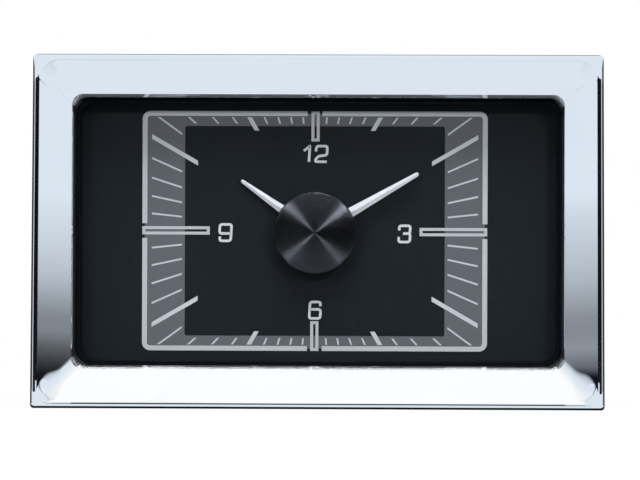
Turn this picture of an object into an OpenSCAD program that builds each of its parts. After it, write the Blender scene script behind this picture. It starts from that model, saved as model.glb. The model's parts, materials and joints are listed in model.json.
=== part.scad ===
// Car dashboard clock: a chromed picture-frame bezel, a flat lens, a black dial, two hands under a turned
// hub cap, and a quartz stepping movement with its circuit board in a closed housing behind the panel.
// Millimetres. X points to 3 o'clock, Z to 12 o'clock, and the front faces -Y.
// The origin is the centre of the bezel's rear seat, in the plane that lies on the dashboard.

/* [Bezel] */
// Width of the window in the bezel
window_w = 114; // [104:1:126]
// Height of the window in the bezel
window_h = 62.8; // [60:0.2:70]
// Corner radius of the window
window_r = 2.6; // [1.6:0.1:4]
// Width of the bezel's bars
bar_w = 9.9; // [9.6:0.1:13]
// Corner radius of the bezel's outline
bezel_r = 1.8; // [1:0.1:3]
// How far each side of the bezel leans in at the top
side_lean = 0.5; // [0.2:0.05:1]
// Slope of the bars down to the window, in degrees
face_angle = 30; // [22:1:36]
// Radius of the bezel's outer ridge
ridge_r = 1; // [0.8:0.1:1.6]
// Radius of the bezel's inner lip
lip_r = 1.1; // [0.5:0.1:1.2]
// Straight land between the inner lip and the lens seat
lip_land = 1; // [0.6:0.1:2]
// Thickness of the casting
bezel_wall = 2.2; // [1.8:0.1:2.5]
// Height of the raised seat on the bezel's rear edge
seat_step = 0.6; // [0.3:0.1:1]
// How far the raised seat stands in from the outline
seat_inset = 0.3; // [0.2:0.1:0.6]

/* [Lens] */
// How far the lens reaches behind the bezel
lens_overlap = 2.2; // [1.6:0.1:2.6]
// Thickness of the lens
lens_t = 2; // [1.5:0.1:3]
// Thickness of the gasket in front of the lens
gasket_t = 0.8; // [0.5:0.1:1.2]
// Width of the gasket
gasket_w = 1.5; // [1:0.1:2]
// Wall of the casting around the lens
lens_wall = 1.3; // [1:0.1:1.6]
// Play around the lens and other pieces dropped into a recess
drop_in_play = 0.2; // [0.1:0.05:0.3]

/* [Housing] */
// Wall of the housing
housing_wall = 2; // [1.6:0.1:2.2]
// Room between the window's edge and the inside of the housing
housing_margin = 0.3; // [0.2:0.1:0.5]
// Outer corner radius of the housing
housing_r = 7; // [5:0.5:9]
// Thickness of the housing's front flange
flange_t = 1.5; // [1.2:0.1:2]
// How far the flange lies below the bezel's seat
flange_recess = 1; // [0.6:0.1:1.6]
// Thickness of the rear cover
cover_t = 2; // [1.6:0.1:3]
// Radius of the posts in the housing's corners
post_r = 4; // [3.5:0.1:5]
// Depth and thickness of the rear cover's locating ribs
cover_rib = 1.6; // [1.2:0.1:2]
// Length of the locating ribs along the top and the sides
cover_rib_len = 30; // [20:1:36]

/* [Mounting] */
// Diameter of the four mounting studs
stud_d = 4; // [3:0.5:5]
// Length of the studs behind the bezel's seat
stud_len = 16; // [12:1:25]
// Length of stud screwed into the bezel
stud_grip = 5; // [4:0.5:6]
// Room between a stud and the bezel's wall
stud_room = 1.3; // [1.2:0.1:1.6]

/* [Dial] */
// Sideways offset of the dial and movement from the window's centre
dial_x = -0.8; // [-2:0.1:2]
// Upward offset of the dial and movement from the window's centre
dial_z = -0.2; // [-1:0.1:1]
// Room between the lens and the dial
hand_room = 9; // [8.5:0.1:12]
// Thickness of the spacer frame's wall
spacer_wall = 1; // [0.8:0.1:1.5]
// Thickness of the dial plate
dial_t = 0.8; // [0.5:0.1:1.5]
// Diameter of the hole in the dial
dial_hole_d = 8; // [6:0.5:10]
// Thickness of the light guide
guide_t = 2.5; // [2:0.1:4]
// Thickness of the dial carrier
carrier_t = 1.8; // [1.6:0.1:3]
// Thickness of the two backlight boards
led_board_t = 1; // [0.8:0.1:1.6]
// Length of the two backlight boards
led_board_len = 40; // [30:1:44]
// Thickness of a backlight diode
led_t = 1.2; // [0.8:0.1:1.6]
// Width of a backlight diode
led_w = 2.8; // [2:0.1:3.5]
// Diodes on each backlight board
led_count = 3; // [2:1:5]

/* [Hands] */
// Hour shown at rest
shown_hour = 10; // [0:1:11]
// Minute shown at rest
shown_minute = 10; // [0:1:59]
// Diameter of the hub cap
hub_d = 19.4; // [14:0.2:24]
// Thickness of the hub cap
hub_t = 3.2; // [2:0.1:3.6]
// Chamfer on the hub cap's edge
hub_chamfer = 0.5; // [0.2:0.1:0.8]
// Length of the minute hand
minute_len = 28.1; // [20:0.1:30]
// Width of the minute hand at the hub cap's edge
minute_w = 2.3; // [1.5:0.1:3]
// Width of the minute hand at its tip
minute_tip_w = 1; // [0.6:0.1:1.4]
// Length of the hour hand
hour_len = 21.5; // [16:0.1:24]
// Width of the hour hand at the hub cap's edge
hour_w = 2; // [1.5:0.1:3]
// Width of the hour hand at its tip
hour_tip_w = 0.8; // [0.6:0.1:1.4]
// Thickness of the hands along their ridge
hand_t = 0.7; // [0.6:0.1:0.9]
// Fall of the hands' two facets from the ridge, in degrees
hand_fall = 12; // [4:1:16]
// Radius of the collar that holds a hand on its pipe
hand_collar_r = 4; // [3.2:0.1:5]
// Gap between the dial, the hour hand and the minute hand
hand_gap = 1.2; // [1:0.1:1.4]

/* [Gear train] */
// Module of the cannon pinion and minute wheel
minute_module = 0.25; // [0.24:0.01:0.27]
// Teeth of the cannon pinion
cannon_teeth = 12; // [12:1:14]
// Teeth of the minute wheel's pinion
minute_pinion_teeth = 10; // [10:1:12]
// Module of the centre wheel and intermediate pinion
centre_module = 0.3; // [0.28:0.01:0.32]
// Teeth of the centre wheel
centre_teeth = 60; // [54:1:64]
// Module of the intermediate wheel and rotor pinion
rotor_module = 0.28; // [0.26:0.01:0.3]
// Teeth of the intermediate wheel
intermediate_teeth = 50; // [46:1:54]
// Teeth of the intermediate pinion and the rotor pinion
pinion_teeth = 10; // [10:1:12]
// Thickness of the wheels
wheel_t = 1; // [0.8:0.1:1.2]
// Free play between meshing teeth, along the pitch circle
backlash = 0.08; // [0.06:0.01:0.1]
// Direction from the centre to the minute wheel, in degrees from 3 o'clock
minute_wheel_dir = 120; // [100:5:140]
// Direction from the centre to the intermediate wheel
intermediate_dir = 15; // [5:1:20]
// Direction from the intermediate wheel to the rotor
rotor_dir = -50; // [-60:1:-45]

/* [Movement] */
// Thickness of the two movement plates
plate_t = 1.2; // [1:0.1:1.6]
// Room for the motion work between the carrier and the front plate
motion_room = 4.8; // [4.8:0.1:6]
// Room between the two plates
train_room = 9; // [9:0.1:11]
// Radius of the centre arbor
arbor_r = 0.8; // [0.6:0.05:0.9]
// Radius of the cannon pinion's pipe
cannon_r = 1.5; // [1.4:0.05:1.7]
// Radius of the hour wheel's pipe
hour_pipe_r = 2.2; // [2.1:0.05:2.4]
// Radius of the small pivots and the minute wheel's post
pivot_r = 0.45; // [0.35:0.05:0.5]
// Radial clearance of turning pieces
running_gap = 0.05; // [0.03:0.01:0.08]
// Radial clearance of pressed and screwed pieces
fit_gap = 0.01; // [0.01:0.01:0.03]
// Radius of the rotor magnet
magnet_r = 3; // [2.4:0.1:3.2]
// Length of the rotor magnet
magnet_len = 3; // [2.4:0.1:3.2]
// Air gap between the rotor magnet and the stator
air_gap = 0.5; // [0.4:0.1:0.7]
// Thickness of the stator and of the coil's core
stator_t = 1.2; // [1:0.1:1.4]
// Width of the stator's legs
stator_leg_w = 4; // [3.5:0.1:4.5]
// Distance of the stator's legs from the rotor
stator_reach = 10; // [9.5:0.1:11]
// Distance of the coil below the rotor
coil_drop = 13.5; // [12.5:0.1:14]
// Radius of the winding
winding_r = 3.6; // [3:0.1:3.8]
// Radius of the pillars between the plates
pillar_r = 2.2; // [2:0.1:2.6]

/* [Electronics] */
// Width of the circuit board
board_w = 84; // [78:1:92]
// Height of the circuit board
board_h = 46; // [44:1:50]
// Thickness of the circuit board
board_t = 1.6; // [1:0.1:2]
// Room between the movement and the circuit board
board_gap = 2.9; // [2.6:0.1:4]
// Room between the circuit board and the rear cover
cover_gap = 3.9; // [3.7:0.1:5]
// Width of a terminal blade
blade_w = 6.3; // [4.8:0.1:6.5]
// Thickness of a terminal blade
blade_t = 0.8; // [0.5:0.1:1]
// Free length of the terminal blades
blade_len = 8; // [6:0.5:10]
// Distance between terminal blades
blade_pitch = 12; // [10:0.5:13]
// Number of terminal blades
blade_count = 3; // [2:1:3]
// Diameter of the two setting buttons
button_d = 4.8; // [4:0.1:5.4]
// How far the buttons stand out of the rear cover
button_proud = 1.5; // [1:0.1:2.5]
// Travel of the buttons
button_travel = 0.6; // [0.4:0.1:0.7]
// Distance between the two buttons
button_pitch = 12; // [11:0.5:14]

/* [Hidden] */
$fn = 64;

// Room that cutting shapes reach past the face they cut
eps = 0.1;

// Depths along Y, from the lens to the rear cover
flange_rear = -flange_recess;
flange_front = flange_rear - flange_t;
lens_front = flange_front - lens_t;
ledge_y = lens_front - gasket_t;
dial_y = flange_front + hand_room;
guide_y = dial_y + dial_t;
carrier_y = guide_y + guide_t;
carrier_rear = carrier_y + carrier_t;
front_plate_y = carrier_rear + motion_room;
train_y = front_plate_y + plate_t;
rear_plate_y = train_y + train_room;
movement_rear = rear_plate_y + plate_t;
board_y = movement_rear + board_gap;
board_rear = board_y + board_t;
cover_y = board_rear + cover_gap;
cover_rear = cover_y + cover_t;

// Outlines of the bezel and its recesses
bezel_w = window_w + 2 * bar_w;
bezel_h = window_h + 2 * bar_w;
pocket_w = bezel_w - 2 * (side_lean + bezel_wall);
pocket_h = bezel_h - 2 * bezel_wall;
pocket_r = 2;
lens_corner_extra = 1;
lens_w = window_w + 2 * lens_overlap;
lens_h = window_h + 2 * lens_overlap;
lens_r = window_r + lens_corner_extra;
channel_in = bar_w - lens_overlap - drop_in_play - lens_wall;
channel_step = 0.3;
channel_out = bezel_wall + side_lean + channel_step;

// Profile of the bars: ridge arc, sloping face and lip arc, as distance in from the outline and depth
lip_y = ledge_y - lip_land;
face_end = [bar_w - lip_r * (1 - sin(face_angle)), lip_y - lip_r * cos(face_angle)];
face_start_u = ridge_r * (1 + sin(face_angle));
face_start = [face_start_u, face_end[1] - tan(face_angle) * (face_end[0] - face_start_u)];
ridge_y = face_start[1] + ridge_r * cos(face_angle);
function face_y(u) = face_start[1] + tan(face_angle) * (u - face_start[0]);

// Studs and screws in the bezel
stud_x = pocket_w / 2 - stud_d / 2 - stud_room;
stud_z = pocket_h / 2 - stud_d / 2 - stud_room;
thread_depth = 0.25;
stud_core_r = stud_d / 2 - thread_depth;
stud_boss_wall = 1.4;
stud_boss_r = stud_d / 2 + stud_boss_wall;
stud_notch_gap = 1.6;
stud_notch_r = stud_d / 2 + stud_notch_gap;
stud_chamfer = 0.5;
flange_screw_x = window_w / 3;
flange_screw_z = (pocket_h / 2 + lens_h / 2 + drop_in_play + lens_wall) / 2;
flange_boss_r = 2.3;
screw_r = 1;
screw_head_r = 1.8;
screw_len = 5;
pilot_spare = 0.5;

// Housing and what it carries
housing_in_w = window_w + 2 * housing_margin;
housing_in_h = window_h + 2 * housing_margin;
housing_w = housing_in_w + 2 * housing_wall;
housing_h = housing_in_h + 2 * housing_wall;
housing_in_r = housing_r - housing_wall;
flange_w = pocket_w - 2 * drop_in_play;
flange_h = pocket_h - 2 * drop_in_play;
inset_w = housing_in_w - 2 * drop_in_play;
inset_h = housing_in_h - 2 * drop_in_play;
inset_r = housing_in_r - drop_in_play;
post_sink = 0.6;
post_x = housing_in_w / 2 - post_r + post_sink;
post_z = housing_in_h / 2 - post_r + post_sink;
post_screw_r = 1.25;
post_head_r = 2.4;
post_head_h = 1.2;
post_screw_len = 8;
guide_w = inset_w - 2 * (led_board_t + led_t + drop_in_play);
led_pitch = led_board_len / led_count;
led_side_gap = 0.35;

// Hands and pipes
hub_r = hub_d / 2;
minute_angle = 6 * shown_minute;
hour_angle = 30 * shown_hour + shown_minute / 2;
hour_hand_y = dial_y - hand_gap - hand_t;
minute_hand_y = hour_hand_y - hand_gap - hand_t;
hub_y = minute_hand_y - hub_t;
hand_seat = 0.25;
hub_bore_depth = 2;
cannon_wall = 0.4;
arbor_tail = 0.4;

// Gear train: the hour hand turns once for twelve turns of the minute hand, in two steps
first_step = 3;
second_step = 4;
minute_wheel_teeth = first_step * cannon_teeth;
hour_wheel_teeth = second_step * minute_pinion_teeth;

// Gear train: depths of the wheels and the shared tooth form
pinion_extra = 0.15;
wheel_hub_r = 2;
wheel_hub_rise = 0.4;
wheel_rim = 1.4;
boss_r = 2.6;
spoke_w = 1.2;
arbor_body_r = 0.9;
end_play = 0.2;
wheel_gap = 0.6;
wheel_step = 0.8;
hour_wheel_y = carrier_rear + wheel_gap;
minute_wheel_y = hour_wheel_y + wheel_t + wheel_step;
centre_wheel_y = train_y + wheel_step;
intermediate_y = centre_wheel_y + wheel_t + wheel_step + wheel_hub_rise;
magnet_y = intermediate_y + wheel_t + wheel_step;
stator_y = magnet_y + (magnet_len - stator_t) / 2;
pressure_angle = 25;
addendum = 0.8;
dedendum = 1;
flank_steps = 3;
motion_distance = minute_module * (cannon_teeth + minute_wheel_teeth) / 2;
hour_module = 2 * motion_distance / (minute_pinion_teeth + hour_wheel_teeth);
centre_distance = centre_module * (centre_teeth + pinion_teeth) / 2;
rotor_distance = rotor_module * (intermediate_teeth + pinion_teeth) / 2;
function polar(length, direction) = [length * cos(direction), length * sin(direction)];
minute_wheel_at = polar(motion_distance, minute_wheel_dir);
intermediate_at = polar(centre_distance, intermediate_dir);
rotor_at = intermediate_at + polar(rotor_distance, rotor_dir);

// Angle of a tooth on a driven gear that meshes with a driving gear at the given angle
function meshed(driver, driver_teeth, teeth, direction) =
    direction + 180 + 360 / teeth * (0.5 + (direction - driver) * driver_teeth / 360);
cannon_phase = 0;
minute_wheel_phase = meshed(cannon_phase, cannon_teeth, minute_wheel_teeth, minute_wheel_dir);
minute_pinion_phase = 0;
hour_wheel_phase = meshed(minute_pinion_phase, minute_pinion_teeth, hour_wheel_teeth, minute_wheel_dir + 180);
centre_phase = 0;
intermediate_pinion_phase = meshed(centre_phase, centre_teeth, pinion_teeth, intermediate_dir);
intermediate_phase = 0;
rotor_phase = meshed(intermediate_phase, intermediate_teeth, pinion_teeth, rotor_dir);

// Movement plates: an outline that holds the train, the motor and the coil
plate_margin = 7;
plate_left = -centre_module * centre_teeth / 2 - plate_margin;
plate_right = rotor_at[0] + stator_reach + stator_leg_w / 2 + plate_margin;
plate_top = centre_module * centre_teeth / 2 + plate_margin;
plate_bottom = rotor_at[1] - coil_drop - stator_leg_w / 2 - plate_margin;
plate_corner_r = 3;
pillar_inset = 3.2;
pillar_spots = [
    for (x = [plate_left + pillar_inset, plate_right - pillar_inset])
        for (z = [plate_bottom + pillar_inset, plate_top - pillar_inset]) [x, z]
];
pillar_screw_r = 1;
pillar_head_r = 1.8;
pillar_head_h = 1.2;
pillar_screw_grip = 3.5;
carrier_boss_r = 2.4;
bush_wall = 0.9;
post_flange_h = 0.4;
post_flange_w = 0.5;

// Stepping motor
coil_z = rotor_at[1] - coil_drop;
leg_spots = [for (side = [-1, 1]) [rotor_at[0] + side * stator_reach, coil_z]];
stator_ring_w = 2.2;
stator_ring_r = magnet_r + air_gap + stator_ring_w;
stator_post_r = 1.9;
stator_post_floor = 1;
stator_screw_r = 0.7;
stator_head_r = 1.3;
stator_head_h = 0.8;
core_y = stator_y + stator_t;
core_w = 3;
core_axis_y = core_y + stator_t / 2;
bobbin_cheek = 1;
bobbin_r = 2.3;
bobbin_cheek_rise = 0.4;
bobbin_gap = 0.4;
bobbin_in = stator_leg_w / 2 + bobbin_gap;
coil_window_gap = 0.6;

// Circuit board, terminals and buttons
board_r = 2;
board_post_inset = 4;
board_post_x = board_w / 2 - board_post_inset;
board_post_z = board_h / 2 - board_post_inset;
board_post_r = 2.5;
board_screw_r = 0.9;
board_head_r = 1.7;
board_head_h = 1.2;
board_screw_len = 4.5;
terminal_inset = 9;
terminal_z = terminal_inset - board_h / 2;
terminal_margin = 3;
terminal_w = blade_pitch * (blade_count - 1) + blade_w + 2 * terminal_margin;
terminal_h = 8;
terminal_lip = 1.5;
terminal_r = 0.5;
solder_tail = 0.6;
terminal_proud = 2.5;
blade_spots = [for (i = [0 : blade_count - 1]) (i - (blade_count - 1) / 2) * blade_pitch];
button_inset = 18;
button_x = board_w / 2 - button_inset;
button_z = 10;
button_spots = [for (side = [-1, 1]) button_x + side * button_pitch / 2];
button_r = button_d / 2;
button_flange_t = 0.8;
button_flange_w = 0.9;
button_flange_r = button_r + button_flange_w;
button_rest_gap = 0.1;
button_collar_w = 1.4;
button_collar_r = button_r + button_collar_w;
button_collar_h = 0.8;
switch_size = 6;
switch_r = 0.5;
switch_stem_r = 1.7;
switch_stem = 0.5;
switch_spare = 0.2;
switch_top = cover_y - button_rest_gap - button_flange_t - button_travel - switch_spare;

// Components on the circuit board: place across the board, and size
crystal_at = [-6, 8];
crystal_size = [11, 4.6, 3];
crystal_r = 2.2;
chip_inset = 18;
chip_at = [chip_inset - board_w / 2, 6];
chip_size = [10, 10, 1.5];
chip_r = 0.4;
capacitor_inset = 8;
capacitor_at = [capacitor_inset - board_w / 2, -8];
capacitor_pitch = 8;
capacitor_r = 3.1;
capacitor_h = 3.2;

// A rounded rectangle
module rounded(w, h, r) {
    square([w - 2 * r, h], center = true);
    square([w, h - 2 * r], center = true);
    for (x = [-1, 1], y = [-1, 1]) translate([x * (w / 2 - r), y * (h / 2 - r)]) circle(r);
}

// An outline drawn as seen from the front, made solid from depth y0 to depth y1
module between(y0, y1) {
    translate([0, y1, 0]) rotate([90, 0, 0]) linear_extrude(y1 - y0) children();
}

// A rounded slab from depth y0 to depth y1
module slab(w, h, r, y0, y1) {
    between(y0, y1) rounded(w, h, r);
}

// A round rod along Y
module rod(at, r, y0, y1) {
    translate([at[0], y1, at[1]]) rotate([90, 0, 0]) cylinder(r = r, h = y1 - y0);
}

// A cone along Y, from radius r0 at depth y0 to radius r1 at depth y1
module cone(at, r0, r1, y0, y1) {
    translate([at[0], y1, at[1]]) rotate([90, 0, 0]) cylinder(r1 = r1, r2 = r0, h = y1 - y0);
}

// A countersunk screw whose head is flush with depth y and whose point is deeper, or in front if way is -1
module countersunk(at, r, head_r, len, y, way) {
    head = head_r - r;
    if (way > 0) {
        cone(at, head_r, r, y, y + head);
        rod(at, r, y + head, y + len);
    } else {
        cone(at, r, head_r, y - head, y);
        rod(at, r, y - len, y - head);
    }
}

// The four corners at the given half spans
function corners(x, z) = [for (i = [-1, 1], j = [-1, 1]) [i * x, j * z]];

// Points of a rounded rectangle inset from the bezel's outline by u, with sides that lean in at the top
corner_steps = 8;
ridge_steps = 10;
lip_steps = 5;
lean_fade = 0.65;
function bezel_ring(u, y) =
    let (
        w = bezel_w - 2 * u,
        h = bezel_h - 2 * u,
        share = u / bar_w,
        r = bezel_r + (window_r - bezel_r) * share,
        lean = side_lean * (1 - lean_fade * share)
    )
    [for (q = [0 : 3], k = [0 : corner_steps])
        let (
            a = 90 * q + 90 * k / corner_steps,
            sx = (q == 0 || q == 3) ? 1 : -1,
            sz = q < 2 ? 1 : -1,
            x = sx * (w / 2 - r) + r * cos(a),
            z = sz * (h / 2 - r) + r * sin(a)
        )
        [x - sign(x) * lean * (z / bezel_h + 0.5), y, z]];

// A closed ring of the bezel's plan, lofted through a closed profile of [inset, depth] stations
module bezel_loft(profile) {
    count = 4 * (corner_steps + 1);
    stations = len(profile);
    points = [for (p = profile) each bezel_ring(p[0], p[1])];
    faces = [for (s = [0 : stations - 1], i = [0 : count - 1])
        let (
            t = (s + 1) % stations,
            j = (i + 1) % count,
            a = s * count + i,
            b = s * count + j,
            c = t * count + j,
            d = t * count + i
        )
        each [[a, c, b], [a, d, c]]];
    polyhedron(points, faces, convexity = 6);
}

ridge_arc = [for (k = [0 : ridge_steps]) let (t = (90 + face_angle) * k / ridge_steps)
    [ridge_r * (1 - cos(t)), ridge_y - ridge_r * sin(t)]];
lip_arc = [for (k = [0 : lip_steps]) let (t = face_angle + (90 - face_angle) * k / lip_steps)
    [bar_w - lip_r + lip_r * sin(t), lip_y - lip_r * cos(t)]];
bar_profile = concat([[0, -seat_step]], ridge_arc, lip_arc, [[bar_w, -seat_step]]);
channel_floor = bezel_wall / cos(face_angle);
channel_profile = [
    [channel_out, flange_front + eps], [channel_out, face_y(channel_out) + channel_floor],
    [channel_in, face_y(channel_in) + channel_floor], [channel_in, flange_front + eps]
];

// Screw places on the flange: three along the top and three along the bottom
flange_screws = [for (i = [-1 : 1], j = [-1, 1]) [i * flange_screw_x, j * flange_screw_z]];

module bezel() {
    color("gainsboro") difference() {
        union() {
            bezel_loft(bar_profile);
            slab(bezel_w - 2 * (side_lean + seat_inset), bezel_h - 2 * seat_inset, bezel_r, flange_front, 0);
        }
        slab(lens_w + 2 * drop_in_play, lens_h + 2 * drop_in_play, lens_r + drop_in_play, ledge_y, eps);
        slab(pocket_w, pocket_h, pocket_r, flange_front, eps);
        difference() {
            bezel_loft(channel_profile);
            for (at = corners(stud_x, stud_z)) rod(at, stud_boss_r, face_y(0), 0);
            for (at = flange_screws) rod(at, flange_boss_r, face_y(0), 0);
        }
        for (at = corners(stud_x, stud_z)) rod(at, stud_core_r + fit_gap, flange_front - stud_grip, 0);
        for (at = flange_screws) rod(at, screw_r + fit_gap, flange_rear - screw_len - pilot_spare, 0);
    }
}

module mounting_studs() {
    color("darkgray") for (at = corners(stud_x, stud_z)) {
        rod(at, stud_core_r, flange_front - stud_grip, flange_front);
        rod(at, stud_d / 2, flange_front, stud_len - stud_chamfer);
        cone(at, stud_d / 2, stud_d / 2 - stud_chamfer, stud_len - stud_chamfer, stud_len);
    }
}

module lens_gasket() {
    color("black") difference() {
        slab(lens_w, lens_h, lens_r, ledge_y, lens_front);
        slab(lens_w - 2 * gasket_w, lens_h - 2 * gasket_w, lens_r - gasket_w,
            ledge_y - eps, lens_front + eps);
    }
}

module lens() {
    color("whitesmoke", 0.3) slab(lens_w, lens_h, lens_r, lens_front, flange_front);
}

module lens_spacer() {
    color("black") difference() {
        slab(inset_w, inset_h, inset_r, flange_front, dial_y);
        slab(inset_w - 2 * spacer_wall, inset_h - 2 * spacer_wall, inset_r - spacer_wall,
            flange_front - eps, dial_y + eps);
    }
}

module dial_plate() {
    color([0.1, 0.1, 0.12]) difference() {
        slab(inset_w, inset_h, inset_r, dial_y, guide_y);
        rod([dial_x, dial_z], dial_hole_d / 2, dial_y - eps, guide_y + eps);
    }
}

module light_guide() {
    color("white", 0.7) difference() {
        slab(guide_w, inset_h, inset_r, guide_y, carrier_y);
        rod([dial_x, dial_z], dial_hole_d / 2, guide_y - eps, carrier_y + eps);
    }
}

module backlight_boards() {
    color("darkgreen") for (side = [-1, 1])
        translate([side * (inset_w - led_board_t) / 2, (guide_y + carrier_y) / 2, 0])
            cube([led_board_t, guide_t, led_board_len], center = true);
}

module backlight_leds() {
    color("lightyellow") for (side = [-1, 1], i = [0 : led_count - 1])
        translate([
            side * (inset_w / 2 - led_board_t - led_t / 2), (guide_y + carrier_y) / 2,
            (i - (led_count - 1) / 2) * led_pitch
        ]) cube([led_t, guide_t - 2 * led_side_gap, led_w], center = true);
}

module dial_carrier() {
    color("dimgray") difference() {
        union() {
            slab(inset_w, inset_h, inset_r, carrier_y, carrier_rear);
            translate([dial_x, 0, dial_z])
                for (at = pillar_spots) rod(at, carrier_boss_r, carrier_rear, front_plate_y);
        }
        rod([dial_x, dial_z], dial_hole_d / 2, carrier_y - eps, carrier_rear + eps);
        translate([dial_x, 0, dial_z]) for (at = pillar_spots)
            rod(at, pillar_screw_r + fit_gap, front_plate_y - pillar_screw_grip, front_plate_y + eps);
        for (at = corners(post_x, post_z)) {
            cone(at, post_head_r + fit_gap, post_screw_r + 2 * fit_gap,
                carrier_y, carrier_y + post_head_r - post_screw_r);
            rod(at, post_screw_r + 2 * fit_gap, carrier_y, carrier_rear + eps);
        }
    }
}

module carrier_screws() {
    color("silver") for (at = corners(post_x, post_z))
        countersunk(at, post_screw_r, post_head_r, carrier_t + post_screw_len, carrier_y, 1);
}

// A rounded notch in the flange's corner, around a stud and out past the flange
module stud_notch(at) {
    out = [sign(at[0]), sign(at[1])] * stud_notch_r;
    translate([at[0] + out[0], 0, at[1] + out[1]])
        slab(4 * stud_notch_r, 4 * stud_notch_r, stud_notch_r, flange_front - eps, flange_rear + eps);
}

module housing() {
    color([0.13, 0.13, 0.14]) difference() {
        union() {
            slab(housing_w, housing_h, housing_r, flange_rear, cover_y);
            slab(flange_w, flange_h, pocket_r - drop_in_play, flange_front, flange_rear);
        }
        difference() {
            slab(housing_in_w, housing_in_h, housing_in_r, flange_front - eps, cover_y + eps);
            for (at = corners(post_x, post_z)) rod(at, post_r, carrier_rear, cover_y);
        }
        for (at = corners(stud_x, stud_z)) stud_notch(at);
        for (at = flange_screws) {
            cone(at, screw_r + fit_gap, screw_head_r + fit_gap,
                flange_rear - screw_head_r + screw_r, flange_rear);
            rod(at, screw_r + fit_gap, flange_front - eps, flange_rear);
        }
        for (at = corners(post_x, post_z)) {
            rod(at, post_screw_r + fit_gap, carrier_rear - eps, carrier_rear + post_screw_len + pilot_spare);
            rod(at, post_screw_r + fit_gap, cover_y - post_screw_len - pilot_spare, cover_y + eps);
        }
    }
}

module housing_screws() {
    color("silver") for (at = flange_screws)
        countersunk(at, screw_r, screw_head_r, screw_len, flange_rear, -1);
}

module rear_cover() {
    rib_x = housing_in_w / 2 - drop_in_play - cover_rib / 2;
    rib_z = housing_in_h / 2 - drop_in_play - cover_rib / 2;
    color([0.15, 0.15, 0.16]) difference() {
        union() {
            slab(housing_w, housing_h, housing_r, cover_y, cover_rear);
            for (side = [-1, 1]) {
                translate([0, cover_y - cover_rib / 2, side * rib_z])
                    cube([cover_rib_len, cover_rib + eps, cover_rib], center = true);
                translate([side * rib_x, cover_y - cover_rib / 2, 0])
                    cube([cover_rib, cover_rib + eps, cover_rib_len], center = true);
            }
            for (at = corners(board_post_x, board_post_z)) rod(at, board_post_r, board_rear, cover_y + eps);
            for (x = button_spots)
                rod([x, button_z], button_collar_r, cover_rear - eps, cover_rear + button_collar_h);
        }
        translate([0, cover_y + cover_t / 2, terminal_z])
            cube([terminal_w + 2 * fit_gap, cover_t + 2 * eps, terminal_h + 2 * fit_gap], center = true);
        for (x = button_spots)
            rod([x, button_z], button_r + running_gap, cover_y - eps, cover_rear + button_collar_h + eps);
        for (at = corners(board_post_x, board_post_z))
            rod(at, board_screw_r + fit_gap, board_rear - eps, board_y + board_screw_len + pilot_spare);
        for (at = corners(post_x, post_z))
            rod(at, post_screw_r + 2 * fit_gap, cover_y - eps, cover_rear + eps);
    }
}

module cover_screws() {
    color("silver") for (at = corners(post_x, post_z)) {
        rod(at, post_screw_r, cover_y - post_screw_len, cover_rear);
        rod(at, post_head_r, cover_rear, cover_rear + post_head_h);
    }
}

module circuit_board() {
    color("darkgreen") difference() {
        slab(board_w, board_h, board_r, board_y, board_rear);
        for (at = corners(board_post_x, board_post_z))
            rod(at, board_screw_r + 2 * fit_gap, board_y - eps, board_rear + eps);
        for (x = blade_spots) translate([x, board_y + board_t / 2, terminal_z])
            cube([blade_w + 2 * drop_in_play, board_t + 2 * eps, blade_t + 2 * drop_in_play], center = true);
    }
}

module board_screws() {
    color("silver") for (at = corners(board_post_x, board_post_z)) {
        rod(at, board_head_r, board_y - board_head_h, board_y);
        rod(at, board_screw_r, board_y, board_y + board_screw_len);
    }
}

module quartz_crystal() {
    color("silver") translate([crystal_at[0], 0, crystal_at[1]])
        slab(crystal_size[0], crystal_size[1], crystal_r, board_rear, board_rear + crystal_size[2]);
}

module driver_chip() {
    color([0.1, 0.1, 0.1]) translate([chip_at[0], 0, chip_at[1]])
        slab(chip_size[0], chip_size[1], chip_r, board_rear, board_rear + chip_size[2]);
}

module capacitors() {
    color("slategray") for (side = [-1, 1])
        rod(capacitor_at + [side * capacitor_pitch / 2, 0], capacitor_r,
            board_rear, board_rear + capacitor_h);
}

module terminal_block() {
    color("ivory") difference() {
        union() {
            translate([0, 0, terminal_z]) {
                slab(terminal_w + 2 * terminal_lip, terminal_h + 2 * terminal_lip, terminal_r,
                    board_rear, cover_y);
                slab(terminal_w, terminal_h, terminal_r, cover_y - eps, cover_rear + terminal_proud);
            }
        }
        for (x = blade_spots) translate([x, (board_rear + cover_rear + terminal_proud) / 2, terminal_z])
            cube([
                blade_w + 2 * fit_gap,
                cover_rear + terminal_proud - board_rear + 2 * eps,
                blade_t + 2 * fit_gap
            ], center = true);
    }
}

module terminal_blades() {
    blade_y0 = board_y - solder_tail;
    blade_y1 = cover_rear + terminal_proud + blade_len;
    color("gold") for (x = blade_spots) translate([x - blade_w / 2, blade_y0, terminal_z - blade_t / 2])
        cube([blade_w, blade_y1 - blade_y0, blade_t]);
}

module set_switches() {
    color("dimgray") for (x = button_spots) {
        translate([x, 0, button_z])
            slab(switch_size, switch_size, switch_r, board_rear, switch_top - switch_stem);
        rod([x, button_z], switch_stem_r, switch_top - switch_stem - eps, switch_top);
    }
}

// One push button: a stem through the cover with a flange that holds it inside
module set_button(x) {
    flange_y = cover_y - button_rest_gap;
    rod([x, button_z], button_flange_r, flange_y - button_flange_t, flange_y);
    rod([x, button_z], button_r, flange_y - eps, cover_rear + button_collar_h + button_proud);
}

module set_button_hour() {
    color("darkred") set_button(button_spots[0]);
}

module set_button_minute() {
    color("darkred") set_button(button_spots[1]);
}

// Outline shared by both movement plates
module plate_outline() {
    translate([(plate_left + plate_right) / 2, (plate_top + plate_bottom) / 2])
        rounded(plate_right - plate_left, plate_top - plate_bottom, plate_corner_r);
}

// Puts a piece of the movement on the dial's centre
module movement() {
    translate([dial_x, 0, dial_z]) children();
}

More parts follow.
